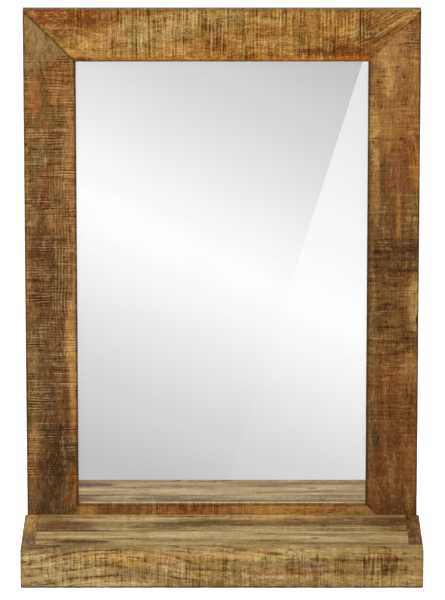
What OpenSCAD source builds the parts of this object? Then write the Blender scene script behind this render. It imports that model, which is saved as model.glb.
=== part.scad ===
// Bathroom mirror in a mitred timber frame, with a box ledge across its foot.
// X runs to the right, Y into the wall and Z up. The wall plane is y = 0.
// The origin is midway between the two round hanger holes, on the wall plane.

/* [Frame] */
// Overall width of the frame
frame_w = 500; // [420:5:700]
// Overall height of the frame
frame_h = 710; // [560:5:1000]
// Width of each rail and stile
member_w = 66; // [63:1:70]
// Thickness of the rails and stiles
frame_t = 20; // [18:1:26]
// Radius on the long front edges of the rails and stiles
frame_edge_r = 2; // [0.5:0.5:4]
// Thickness of the front lip that the glass lies against
lip_t = 8; // [7:0.5:9]

/* [Glass and backing] */
// Thickness of the mirror glass
glass_t = 4; // [3:0.5:5]
// Width of the rebate that takes the glass
glass_rebate_w = 8; // [6:0.5:9]
// Space round the edge of the glass, filled by the packers at its foot
glass_gap = 1.5; // [1:0.5:3]
// Width of the polished chamfer on the edges of the glass
glass_chamfer = 0.6; // [0.3:0.1:1]
// Length of each packer under the glass
packer_l = 40; // [20:5:60]
// Distance of each packer from the middle of the mirror
packer_x = 110; // [60:5:120]
// Thickness of the backing board
backing_t = 4; // [3:0.5:5]
// Width of the rebate that takes the backing board
backing_rebate_w = 18; // [16:0.5:19]
// Space round the edge of the backing board
backing_gap = 1; // [0.5:0.5:2]

/* [Corner biscuits] */
// Length of the beech biscuit in each mitre
biscuit_l = 56; // [45:1:58]
// Width of the biscuit across the mitre
biscuit_w = 23; // [18:1:24]
// Thickness of the biscuit
biscuit_t = 4; // [3:0.5:5]
// Distance of the biscuit's middle from the outer corner, along the mitre
biscuit_inset = 37; // [34:0.5:38]
// Spare length at each end of a biscuit's slot
biscuit_end_gap = 1; // [0.5:0.5:2]

/* [Hangers] */
// Distance between the two keyhole plates
hanger_spacing = 320; // [200:10:340]
// Distance of each plate's middle below the top of the frame
hanger_drop = 24; // [23:0.5:25]
// Width of a keyhole plate
plate_w = 20; // [18:1:26]
// Height of a keyhole plate
plate_h = 40; // [39:0.5:42]
// Thickness of a keyhole plate
plate_t = 2; // [1.5:0.25:2.5]
// Radius of a plate's corners
plate_corner_r = 3; // [1:0.5:4]
// Radius of the round hole that the wall screw's head enters
entry_r = 5; // [4:0.25:5.5]
// Distance of the round hole below the plate's middle
entry_drop = 5; // [4:0.5:5.5]
// Half the width of the slot that the wall screw's shank slides up
slot_r = 2.5; // [2:0.25:3]
// Height of the slot's round end above the plate's middle
slot_rise = 7; // [5:0.5:7.5]
// Room round the keyhole in the pocket behind it
pocket_margin = 1.5; // [1:0.25:2]
// Depth of the pocket behind each plate, from the wall plane
pocket_d = 11; // [9:0.5:12]
// Distance of each plate screw from the plate's nearer end
plate_screw_inset = 4.5; // [4:0.25:5]

/* [Ledge] */
// Depth of the ledge in front of the frame
ledge_d = 150; // [120:1:170]
// Height of the ledge's boards
ledge_h = 52; // [48:1:56]
// How far the ledge stands out past each side of the frame
ledge_overhang = 3; // [0:0.5:5]
// Thickness of the front and side boards
board_t = 18; // [16:1:20]
// Thickness of the two planks that make the top
plank_t = 18; // [16:1:19]
// Depth of the plank next to the frame
rear_plank_d = 74; // [60:1:90]
// Radius along the top of the front board
nose_r = 8; // [4:0.5:10]
// Radius on the other outer edges of the boards
board_edge_r = 2.5; // [1:0.5:4]

/* [Dowels and screws] */
// Radius of the dowels in the ledge
dowel_r = 4; // [3:0.5:4.5]
// Length of a dowel in the board that it crosses into
dowel_short = 10; // [8:1:12]
// Length of a dowel in the board that it runs along
dowel_long = 20; // [15:1:24]
// Distance between neighbouring dowels and screws along the ledge
ledge_pitch = 150; // [100:5:160]
// Height of the lower dowel in each side board
low_dowel_z = 10; // [7:1:12]
// Distance of the upper dowel in each side board below the planks
upper_dowel_drop = 6; // [5:0.5:8]
// Radius of the heads of the screws that hold the ledge
fixing_head_r = 4; // [3.5:0.25:4.5]
// Radius of their shanks
fixing_shank_r = 2; // [1.5:0.25:2.5]
// Their length
fixing_l = 50; // [40:1:60]
// Distance of the outer screws from the sides of the frame
side_screw_inset = 9; // [8:0.5:10]
// Radius of the plate screws' heads
plate_head_r = 3.4; // [3:0.1:3.8]
// Radius of the plate screws' shanks
plate_shank_r = 1.6; // [1.2:0.1:1.9]
// Length of the plate screws
plate_screw_l = 16; // [12:0.5:16]
// Radius of the backing screws' heads
backing_head_r = 3; // [2.5:0.25:3.5]
// Height of the backing screws' heads
backing_head_h = 1.8; // [1.2:0.1:2]
// Radius of the backing screws' shanks
backing_shank_r = 1.5; // [1.2:0.1:1.8]
// Length of the backing screws under the head
backing_screw_l = 12; // [10:0.5:13]
// Distance between backing screws along the top and bottom
backing_pitch_x = 120; // [80:5:125]
// Distance between backing screws along the sides
backing_pitch_z = 190; // [120:5:195]

/* [Hidden] */
$fn = 64;

// Space round every screw, dowel, biscuit and plate in its hole or recess
fit_gap = 0.1;
// How far a cutter runs past the face that it cuts
over = 1;
// Room left between a screw's head and the next edge or slot
head_room = 3;

opening_w = frame_w - 2 * member_w;
opening_h = frame_h - 2 * member_w;
glass_w = opening_w + 2 * (glass_rebate_w - glass_gap);
glass_h = opening_h + 2 * (glass_rebate_w - glass_gap);
backing_w = opening_w + 2 * (backing_rebate_w - backing_gap);
backing_h = opening_h + 2 * (backing_rebate_w - backing_gap);
// Distance of the backing screws outside the opening, mid way on the step beside the glass
screw_out = (glass_rebate_w + backing_rebate_w) / 2;
// Y of the glass's front face, of the backing board's front face and of its back face
glass_y = lip_t - frame_t;
backing_y = glass_y + glass_t;
backing_back_y = backing_y + backing_t;

// Height of the round hanger holes above the foot of the frame
hang_z = frame_h - hanger_drop - entry_drop;

ledge_w = frame_w + 2 * ledge_overhang;
inner_w = ledge_w - 2 * board_t;
front_plank_d = ledge_d - board_t - rear_plank_d;
// Y of the ledge's front face, of the seam behind the front board and of the seam between the planks
ledge_front_y = -frame_t - ledge_d;
board_back_y = ledge_front_y + board_t;
plank_seam_y = -frame_t - rear_plank_d;
plank_mid_z = ledge_h - plank_t / 2;
plank_under_z = ledge_h - plank_t;
// Middle of a side board's thickness
side_mid_x = ledge_w / 2 - board_t / 2;
side_dowel_z = [low_dowel_z, plank_under_z - upper_dowel_drop];
plank_dowel_y = [-frame_t - rear_plank_d / 2, plank_seam_y - front_plank_d / 2];

// The plank screws stay below the backing rebate and the side screws stay clear of the biscuits
plank_screw_z = member_w - backing_rebate_w - fixing_head_r - head_room;
side_screw_x = frame_w / 2 - side_screw_inset;
side_screw_z = side_screw_inset + (biscuit_w / 2 + fixing_head_r + head_room / 2) * sqrt(2);

timber = [0.46, 0.31, 0.17];
ledge_timber = [0.62, 0.47, 0.27];
plank_timber = [0.66, 0.55, 0.36];
beech = [0.82, 0.68, 0.48];
mirror_silver = [0.86, 0.88, 0.89];
hardboard = [0.38, 0.26, 0.17];
zinc = [0.74, 0.75, 0.77];
rubber_black = [0.09, 0.09, 0.09];

// Moves what is drawn from the foot of the frame to the hanging height
module hung() {
    translate([0, 0, -hang_z]) children();
}

// The waste between a square corner at the origin and its fillet
module corner_waste(r) {
    difference() {
        translate([-over, -over]) square(r + over);
        translate([r, r]) circle(r);
    }
}

// A rectangle whose corners are rounded one by one: lower left, lower right, upper right, upper left
module rounded_rect(w, h, radii) {
    difference() {
        square([w, h]);
        if (radii[0] > 0) corner_waste(radii[0]);
        if (radii[1] > 0) translate([w, 0]) mirror([1, 0]) corner_waste(radii[1]);
        if (radii[2] > 0) translate([w, h]) rotate(180) corner_waste(radii[2]);
        if (radii[3] > 0) translate([0, h]) mirror([0, 1]) corner_waste(radii[3]);
    }
}

// Section of a rail or stile: across from the outer edge, and back from the front face
module member_section() {
    difference() {
        rounded_rect(member_w, frame_t, [frame_edge_r, frame_edge_r, 0, 0]);
        translate([member_w - glass_rebate_w, lip_t])
            square([glass_rebate_w + over, frame_t]);
        translate([member_w - backing_rebate_w, lip_t + glass_t])
            square([backing_rebate_w + over, frame_t]);
    }
}

// A rail or stile with mitred ends, lying along X with its outer edge down
module mitred_member(length) {
    intersection() {
        translate([0, -frame_t, 0])
            rotate([0, -90, 0])
                linear_extrude(height = length, center = true) member_section();
        translate([0, over, 0])
            rotate([90, 0, 0])
                linear_extrude(height = frame_t + 2 * over)
                    polygon([
                        [-length / 2, 0],
                        [length / 2, 0],
                        [length / 2 - member_w, member_w],
                        [member_w - length / 2, member_w]
                    ]);
    }
}

// The lens shape of a biscuit: two equal arcs that meet in points
module lens(l, w) {
    arc_r = (l * l + w * w) / (4 * w);
    intersection() {
        translate([0, arc_r - w / 2]) circle(arc_r);
        translate([0, w / 2 - arc_r]) circle(arc_r);
    }
}

// A biscuit in the mitre of one corner; side is -1 or 1, and level is 0 at the foot or 1 at the top
module mitre_lens(side, level, l, w, t) {
    translate([side * frame_w / 2, -frame_t / 2, level * frame_h])
        rotate([90, 0, 0])
            rotate((level == 0 ? 1 : -1) * (side < 0 ? 45 : 135))
                translate([biscuit_inset, 0, 0])
                    linear_extrude(height = t, center = true) lens(l, w);
}

module biscuit(side, level) {
    mitre_lens(side, level, biscuit_l, biscuit_w, biscuit_t);
}

module biscuit_slot(side, level) {
    mitre_lens(
        side, level,
        biscuit_l + 2 * biscuit_end_gap, biscuit_w + 2 * fit_gap, biscuit_t + 2 * fit_gap
    );
}

// A countersunk screw that enters along -Y with its head flush at the origin.
// With a gap it is the hole for that screw, and its countersink runs out past the face.
module countersunk(head_r, shank_r, l, gap) {
    head_h = head_r - shank_r;
    tip_h = 2 * shank_r;
    rotate([90, 0, 0])
        difference() {
            union() {
                cylinder(h = head_h, r1 = head_r + gap, r2 = shank_r + gap);
                cylinder(h = l - tip_h + gap, r = shank_r + gap);
                translate([0, 0, l - tip_h + gap])
                    cylinder(h = tip_h, r1 = shank_r + gap, r2 = shank_r / 4);
                if (gap > 0) translate([0, 0, -over]) cylinder(h = over, r = head_r + gap);
            }
            if (gap == 0) cross_recess(head_r, head_h / 2);
        }
}

// The cross recess in a screw's head, cut from the origin along +Z
module cross_recess(head_r, depth) {
    arm_w = head_r / 4;
    for (turn = [0, 90])
        rotate(turn)
            translate([-head_r / 2, -arm_w / 2, -over])
                cube([head_r, arm_w, depth + over]);
}

// A pan-head screw that enters along -Y with the underside of its head at the origin
module pan_head_screw() {
    dome_r = 2 * backing_head_r;
    dome_drop = sqrt(dome_r * dome_r - backing_head_r * backing_head_r) - dome_r / 2;
    rotate([90, 0, 0])
        difference() {
            union() {
                intersection() {
                    translate([0, 0, -backing_head_h])
                        cylinder(h = backing_head_h, r = backing_head_r);
                    translate([0, 0, dome_r - backing_head_h]) sphere(dome_r);
                }
                backing_shank(0);
            }
            translate([0, 0, -backing_head_h])
                cross_recess(backing_head_r, backing_head_h / 2);
        }
}

// The shank of a backing screw, or with a gap its hole
module backing_shank(gap) {
    tip_h = 2 * backing_shank_r;
    cylinder(h = backing_screw_l - tip_h, r = backing_shank_r + gap);
    translate([0, 0, backing_screw_l - tip_h])
        cylinder(h = tip_h, r1 = backing_shank_r + gap, r2 = backing_shank_r / 4);
}

// The backing screws on the step of one member: X and Z of each
function rail_screws(z) = [for (i = [-1:1]) [i * backing_pitch_x, z]];
function stile_screws(x) = [for (i = [-1:1]) [x, frame_h / 2 + i * backing_pitch_z]];
top_screws = rail_screws(frame_h - member_w + screw_out);
bottom_screws = rail_screws(member_w - screw_out);
left_screws = stile_screws(member_w - screw_out - frame_w / 2);
right_screws = stile_screws(frame_w / 2 - member_w + screw_out);

module backing_holes(places) {
    for (p = places)
        translate([p[0], backing_back_y, p[1]])
            rotate([90, 0, 0]) backing_shank(fit_gap);
}

// Outline of the keyhole: a round hole with a narrow slot above it, about the plate's middle
module keyhole() {
    translate([0, -entry_drop]) circle(entry_r);
    translate([-slot_r, -entry_drop]) square([2 * slot_r, entry_drop + slot_rise]);
    translate([0, slot_rise]) circle(slot_r);
}

// Stands a flat shape up at one hanger, with its back face in the wall plane; side is -1 or 1
module at_hanger(side, thickness) {
    translate([side * hanger_spacing / 2, 0, frame_h - hanger_drop])
        rotate([90, 0, 0])
            linear_extrude(height = thickness) children();
}

module plate_outline(grow) {
    translate([-plate_w / 2 - grow, -plate_h / 2 - grow])
        rounded_rect(plate_w + 2 * grow, plate_h + 2 * grow, plate_corner_r * [1, 1, 1, 1]);
}

module plate_screw_places(side) {
    for (end = [-1, 1])
        translate([
            side * hanger_spacing / 2, 0,
            frame_h - hanger_drop + end * (plate_h / 2 - plate_screw_inset)
        ])
            children();
}

module hanger_plate(side) {
    difference() {
        at_hanger(side, plate_t)
            difference() {
                plate_outline(0);
                keyhole();
            }
        plate_screw_places(side) countersunk(plate_head_r, plate_shank_r, plate_screw_l, fit_gap);
    }
}

// The recess for a plate, and the round-ended pocket behind its keyhole
module hanger_recess(side) {
    pocket_r = entry_r + pocket_margin;
    pocket_top = slot_rise + slot_r + pocket_margin - pocket_r;
    translate([0, over, 0]) at_hanger(side, plate_t + over) plate_outline(fit_gap);
    at_hanger(side, pocket_d) {
        translate([0, -entry_drop]) circle(pocket_r);
        translate([-pocket_r, -entry_drop]) square([2 * pocket_r, entry_drop + pocket_top]);
        translate([0, pocket_top]) circle(pocket_r);
    }
    plate_screw_places(side) countersunk(plate_head_r, plate_shank_r, plate_screw_l, fit_gap);
}

// Where the ledge's screws start, on the back of the frame
module ledge_screw_places(columns) {
    for (i = columns)
        translate([
            abs(i) > 1 ? sign(i) * side_screw_x : i * ledge_pitch,
            0,
            abs(i) > 1 ? side_screw_z : plank_screw_z
        ])
            children();
}

module ledge_screw_holes(columns) {
    ledge_screw_places(columns)
        countersunk(fixing_head_r, fixing_shank_r, fixing_l, fit_gap);
}

// A dowel along Y whose short end enters the front board, or with a gap its hole
module front_dowel(gap) {
    translate([0, board_back_y - dowel_short - gap, 0])
        rotate([-90, 0, 0])
            cylinder(h = dowel_short + dowel_long + 2 * gap, r = dowel_r + gap);
}

// The dowels between one side board and the front board; side is -1 or 1
module side_dowels(side, gap) {
    for (z = side_dowel_z)
        translate([side * side_mid_x, 0, z]) front_dowel(gap);
}

// The dowels between the planks and one side board
module plank_dowels(side, gap) {
    for (y = plank_dowel_y)
        translate([side * (inner_w / 2 + dowel_short + gap), y, plank_mid_z])
            rotate([0, -90 * side, 0])
                cylinder(h = dowel_short + dowel_long + 2 * gap, r = dowel_r + gap);
}

// The dowels between the front plank and the front board
module front_dowels(gap) {
    for (i = [-1:1])
        translate([i * ledge_pitch, 0, plank_mid_z]) front_dowel(gap);
}

module top_rail() {
    color(timber)
        hung()
            difference() {
                translate([0, 0, frame_h]) rotate([0, 180, 0]) mitred_member(frame_w);
                biscuit_slot(-1, 1);
                biscuit_slot(1, 1);
                hanger_recess(-1);
                hanger_recess(1);
                backing_holes(top_screws);
            }
}

module bottom_rail() {
    color(timber)
        hung()
            difference() {
                mitred_member(frame_w);
                biscuit_slot(-1, 0);
                biscuit_slot(1, 0);
                backing_holes(bottom_screws);
                ledge_screw_holes([-1, 0, 1]);
            }
}

// A stile, with its outer edge on the given side
module stile(side, screws) {
    color(timber)
        hung()
            difference() {
                translate([side * frame_w / 2, 0, frame_h / 2])
                    rotate([0, -90 * side, 0]) mitred_member(frame_h);
                biscuit_slot(side, 0);
                biscuit_slot(side, 1);
                backing_holes(screws);
                ledge_screw_holes([2 * side]);
            }
}

module left_stile() {
    stile(-1, left_screws);
}

module right_stile() {
    stile(1, right_screws);
}

module top_left_biscuit() {
    color(beech) hung() biscuit(-1, 1);
}

module top_right_biscuit() {
    color(beech) hung() biscuit(1, 1);
}

module bottom_left_biscuit() {
    color(beech) hung() biscuit(-1, 0);
}

module bottom_right_biscuit() {
    color(beech) hung() biscuit(1, 0);
}

// A rectangle with all four corners cut off at 45 degrees, about its middle
module chamfered_rect(w, h, c) {
    polygon([
        [c - w / 2, -h / 2], [w / 2 - c, -h / 2], [w / 2, c - h / 2], [w / 2, h / 2 - c],
        [w / 2 - c, h / 2], [c - w / 2, h / 2], [-w / 2, h / 2 - c], [-w / 2, c - h / 2]
    ]);
}

module mirror_glass() {
    color(mirror_silver)
        hung()
            translate([0, glass_y + glass_t / 2, frame_h / 2])
                intersection() {
                    linear_extrude(height = glass_h, center = true)
                        chamfered_rect(glass_w, glass_t, glass_chamfer);
                    rotate([90, 0, 90])
                        linear_extrude(height = glass_w, center = true)
                            chamfered_rect(glass_t, glass_h, glass_chamfer);
                }
}

// The packers fill the space between the rebate and the foot of the glass
module glass_packers() {
    color(rubber_black)
        hung()
            for (side = [-1, 1])
                translate([side * packer_x - packer_l / 2, glass_y, member_w - glass_rebate_w])
                    cube([packer_l, glass_t, glass_gap]);
}

module backing_board() {
    color(hardboard)
        hung()
            difference() {
                translate([-backing_w / 2, backing_y, (frame_h - backing_h) / 2])
                    cube([backing_w, backing_t, backing_h]);
                backing_holes(top_screws);
                backing_holes(bottom_screws);
                backing_holes(left_screws);
                backing_holes(right_screws);
            }
}

module backing_screws() {
    color(zinc)
        hung()
            for (p = concat(top_screws, bottom_screws, left_screws, right_screws))
                translate([p[0], backing_back_y, p[1]]) pan_head_screw();
}

module left_hanger_plate() {
    color(zinc) hung() hanger_plate(-1);
}

module right_hanger_plate() {
    color(zinc) hung() hanger_plate(1);
}

module hanger_screws() {
    color(zinc)
        hung()
            for (side = [-1, 1])
                plate_screw_places(side) countersunk(plate_head_r, plate_shank_r, plate_screw_l, 0);
}

// The front board is rounded over along its top, and its other outer edges are eased
module ledge_front_board() {
    color(ledge_timber)
        hung()
            difference() {
                translate([-ledge_w / 2, ledge_front_y, 0])
                    intersection() {
                        rotate([90, 0, 90])
                            linear_extrude(height = ledge_w)
                                rounded_rect(board_t, ledge_h, [board_edge_r, 0, 0, nose_r]);
                        linear_extrude(height = ledge_h)
                            rounded_rect(ledge_w, board_t, [board_edge_r, board_edge_r, 0, 0]);
                        translate([0, board_t, 0])
                            rotate([90, 0, 0])
                                linear_extrude(height = board_t)
                                    rounded_rect(ledge_w, ledge_h, board_edge_r * [1, 1, 1, 1]);
                    }
                side_dowels(-1, fit_gap);
                side_dowels(1, fit_gap);
                front_dowels(fit_gap);
            }
}

// A side board from the frame to the front board, with its outer edges eased
module ledge_side(side) {
    color(ledge_timber)
        hung()
            difference() {
                translate([side * ledge_w / 2, -frame_t, 0])
                    mirror([side > 0 ? 1 : 0, 0, 0])
                        rotate([90, 0, 0])
                            linear_extrude(height = ledge_d - board_t)
                                rounded_rect(board_t, ledge_h, [board_edge_r, 0, 0, board_edge_r]);
                side_dowels(side, fit_gap);
                plank_dowels(side, fit_gap);
                ledge_screw_holes([2 * side]);
            }
}

module ledge_left_side() {
    ledge_side(-1);
}

module ledge_right_side() {
    ledge_side(1);
}

module ledge_rear_plank() {
    color(plank_timber)
        hung()
            difference() {
                translate([-inner_w / 2, plank_seam_y, plank_under_z])
                    cube([inner_w, rear_plank_d, plank_t]);
                plank_dowels(-1, fit_gap);
                plank_dowels(1, fit_gap);
                ledge_screw_holes([-1, 0, 1]);
            }
}

module ledge_front_plank() {
    color(plank_timber)
        hung()
            difference() {
                translate([-inner_w / 2, board_back_y, plank_under_z])
                    cube([inner_w, front_plank_d, plank_t]);
                plank_dowels(-1, fit_gap);
                plank_dowels(1, fit_gap);
                front_dowels(fit_gap);
            }
}

module ledge_side_dowels() {
    color(beech)
        hung() {
            side_dowels(-1, 0);
            side_dowels(1, 0);
        }
}

module ledge_plank_dowels() {
    color(beech)
        hung() {
            plank_dowels(-1, 0);
            plank_dowels(1, 0);
        }
}

module ledge_front_dowels() {
    color(beech) hung() front_dowels(0);
}

module ledge_screws() {
    color(zinc)
        hung()
            ledge_screw_places([-2, -1, 0, 1, 2])
                countersunk(fixing_head_r, fixing_shank_r, fixing_l, 0);
}

top_rail();
bottom_rail();
left_stile();
right_stile();
top_left_biscuit();
top_right_biscuit();
bottom_left_biscuit();
bottom_right_biscuit();
mirror_glass();
glass_packers();
backing_board();
backing_screws();
left_hanger_plate();
right_hanger_plate();
hanger_screws();
ledge_front_board();
ledge_left_side();
ledge_right_side();
ledge_rear_plank();
ledge_front_plank();
ledge_side_dowels();
ledge_plank_dowels();
ledge_front_dowels();
ledge_screws();
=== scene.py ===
"""The looks of a bathroom mirror: a mitred frame of sawn timber round its glass, over a box ledge.

The scene is in metres, in the frame's own axes: X to the right, Y into the wall and Z up. A board has
axes of its own, in millimetres: s along the grain, a across its face and d down from its face. They are
kept on its mesh, and its grain, stains and saw marks are all laid out in them.
"""

from __future__ import annotations

import logging
import math
from dataclasses import dataclass, field, replace
from enum import Enum

import bmesh
import bpy
import numpy as np
from mathutils import Matrix, Vector


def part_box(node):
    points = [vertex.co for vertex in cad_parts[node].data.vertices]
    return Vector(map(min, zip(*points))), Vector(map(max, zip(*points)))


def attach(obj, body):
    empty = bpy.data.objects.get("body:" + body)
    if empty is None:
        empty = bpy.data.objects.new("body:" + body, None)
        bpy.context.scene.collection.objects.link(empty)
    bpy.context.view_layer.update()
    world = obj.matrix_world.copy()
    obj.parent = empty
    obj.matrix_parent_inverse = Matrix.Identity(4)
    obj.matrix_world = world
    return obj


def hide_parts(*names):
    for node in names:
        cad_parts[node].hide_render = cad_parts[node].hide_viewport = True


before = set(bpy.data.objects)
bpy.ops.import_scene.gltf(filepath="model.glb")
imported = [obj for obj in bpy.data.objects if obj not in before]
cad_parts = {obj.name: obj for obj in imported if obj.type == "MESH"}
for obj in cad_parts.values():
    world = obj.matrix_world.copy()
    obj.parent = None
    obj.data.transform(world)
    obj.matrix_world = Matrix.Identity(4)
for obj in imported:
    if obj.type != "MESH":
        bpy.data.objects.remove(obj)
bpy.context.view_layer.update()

log = logging.getLogger("bathroom_mirror")

MM = 0.001
BODY = "root"
WHITE = (1.0, 1.0, 1.0, 1.0)
RIGHTWARD, INWARD, UPWARD = Vector((1, 0, 0)), Vector((0, 1, 0)), Vector((0, 0, 1))
# How far cutters stand out behind the wall plane, in metres
CUTTER_PROUD = 0.001
SHARP_ANGLE = math.radians(38)

Point = tuple[float, float]
Triple = tuple[float, float, float]
Rgb = Triple
Socket = bpy.types.NodeSocket


def linear(tone: Rgb) -> tuple[float, float, float, float]:
    """Turns a colour as seen on a screen, 0 to 255, into the light that a shader works in.

    Args:
        tone: Red, green and blue from 0 to 255.

    Returns:
        Linear red, green and blue, with an alpha of 1.
    """
    parts = [c / 255 for c in tone]
    light = [c / 12.92 if c <= 0.04045 else ((c + 0.055) / 1.055) ** 2.4 for c in parts]
    return light[0], light[1], light[2], 1.0


def eased(value: np.ndarray, low: float, high: float) -> np.ndarray:
    """Runs smoothly from 0 at low to 1 at high."""
    t = np.clip((value - low) / (high - low), 0, 1)
    return t * t * (3 - 2 * t)


class Unevenness:
    """Smooth random hills over a plane, the same on every run for one seed."""

    SIZE = 64

    def __init__(self, seed: int) -> None:
        """Draws the heights at the corners of a repeating grid.

        Args:
            seed: Picks the hills.
        """
        self.heights = np.random.default_rng(seed).random((self.SIZE, self.SIZE))

    def at(self, x: np.ndarray, y: np.ndarray) -> np.ndarray:
        """Gives the height at each point, where a hill is about one unit wide.

        Args:
            x: First coordinate of each point.
            y: Second coordinate of each point.

        Returns:
            Heights from 0 to 1.
        """
        column, row = np.floor(x).astype(int), np.floor(y).astype(int)
        u, v = eased(x - column, 0, 1), eased(y - row, 0, 1)
        c0, c1 = column % self.SIZE, (column + 1) % self.SIZE
        r0, r1 = row % self.SIZE, (row + 1) % self.SIZE
        h = self.heights
        return (h[r0, c0] * (1 - u) + h[r0, c1] * u) * (1 - v) + (h[r1, c0] * (1 - u) + h[r1, c1] * u) * v


class Skin(Enum):
    """The kinds of face that a board's section has."""

    SAWN = "sawn"
    SIDE = "side"
    PLANED = "planed"
    HIDDEN = "hidden"


SAW_SHARE = {Skin.SAWN: 1.0, Skin.SIDE: 0.5, Skin.PLANED: 0.12, Skin.HIDDEN: 0.0}
# How much painted shade darkens each kind of face, where a side is shaded as a whole
SHADE_SHARE = {Skin.SAWN: 0.0, Skin.SIDE: 0.2, Skin.PLANED: 0.1, Skin.HIDDEN: 0.1}


@dataclass
class Section:
    """The closed outline of a board, cut square across its grain, in millimetres."""

    points: list[Point] = field(default_factory=list)
    skins: list[Skin] = field(default_factory=list)
    rounded: list[bool] = field(default_factory=list)

    @classmethod
    def face(cls, size: Point, radii: Point, bends: tuple[int, int], steps: Point, side: Skin) -> Section:
        """Draws a board's first side, its sawn face and the rounded edges on both sides of it.

        Args:
            size: The board's width and thickness.
            radii: The radii of its first and its second edge.
            bends: How many stretches each edge has.
            steps: About how far apart the points are on the side and on the face.
            side: The kind of face that the first side is.

        Returns:
            The section, with its pen at the far side's front.
        """
        (width, thick), (near, far) = size, radii
        section = cls()
        section._last = (0.0, thick)
        section.run((0.0, near), steps[0], side)
        section.arc((near, near), near, (180, 270), bends[0], Skin.SAWN)
        section.run((width - far, 0.0), steps[1], Skin.SAWN)
        return section.arc((width - far, far), far, (270, 360), bends[1], Skin.SAWN)

    def run(self, to: Point, step: float, skin: Skin) -> Section:
        """Draws a straight stretch.

        Args:
            to: Where it ends.
            step: About how far apart its points are.
            skin: The kind of face.

        Returns:
            The section itself.
        """
        (a0, d0), (a1, d1) = self._last, to
        count = max(1, round(math.hypot(a1 - a0, d1 - d0) / step))
        for i in range(count):
            self.points.append((a0 + (a1 - a0) * i / count, d0 + (d1 - d0) * i / count))
            self.skins.append(skin)
            self.rounded.append(False)
        self._last = to
        return self

    def arc(self, centre: Point, radius: float, turn: tuple[float, float], steps: int, skin: Skin) -> Section:
        """Draws a rounded edge.

        Args:
            centre: The middle of the arc.
            radius: Its radius.
            turn: The angles that it starts and ends at, in degrees, from the across axis to the down axis.
            steps: How many stretches it has.
            skin: The kind of face.

        Returns:
            The section itself.
        """
        for i in range(steps):
            angle = math.radians(turn[0] + (turn[1] - turn[0]) * i / steps)
            self.points.append((centre[0] + radius * math.cos(angle), centre[1] + radius * math.sin(angle)))
            self.skins.append(skin)
            self.rounded.append(True)
        end = math.radians(turn[1])
        self._last = (centre[0] + radius * math.cos(end), centre[1] + radius * math.sin(end))
        return self

    def outline(self) -> np.ndarray:
        """Gives the points as rows of across and down."""
        return np.array(self.points)

    def inward(self) -> np.ndarray:
        """Gives each point's unit direction into the wood, halfway between those of its two stretches."""
        p = self.outline()
        ahead = np.roll(p, -1, 0) - p
        ahead /= np.linalg.norm(ahead, axis=1)[:, None]
        along = ahead + np.roll(ahead, 1, 0)
        along /= np.linalg.norm(along, axis=1)[:, None]
        area = np.sum(p[:, 0] * np.roll(p[:, 1], -1) - np.roll(p[:, 0], -1) * p[:, 1])
        return np.stack([-along[:, 1], along[:, 0]], 1) * np.sign(area)

    def nearness_to_edge(self, reach: float) -> np.ndarray:
        """Tells how close each point is to a rounded edge.

        Args:
            reach: The distance over which it fades.

        Returns:
            1 on a rounded edge, falling to 0 away from it.
        """
        p = self.outline()
        on = p[np.array(self.rounded)]
        if not len(on):
            return np.zeros(len(p))
        gap = np.linalg.norm(p[:, None] - on[None], axis=2).min(1)
        return np.exp(-((gap / reach) ** 2))


@dataclass(frozen=True)
class Placing:
    """Where a board's own axes lie in the scene."""

    corner: Vector
    along: Vector
    across: Vector
    down: Vector

    def matrix(self) -> Matrix:
        """Gives the matrix from millimetres on the board to metres in the scene."""
        rows = [
            [self.along[i] * MM, self.across[i] * MM, self.down[i] * MM, self.corner[i]] for i in range(3)
        ]
        return Matrix([*rows, [0, 0, 0, 1]])


@dataclass(frozen=True)
class Mark:
    """A knot, chip or crack: a dark hollow at one place of a board's face."""

    at: Point
    radius: Point
    depth: float = 0.5
    dark: float = 1.0


@dataclass(frozen=True)
class SawPatch:
    """A stretch of a board where the saw bit deeper."""

    at: Point
    radius: Point
    pitch: float = 3.0
    dark: float = 0.9


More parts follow.
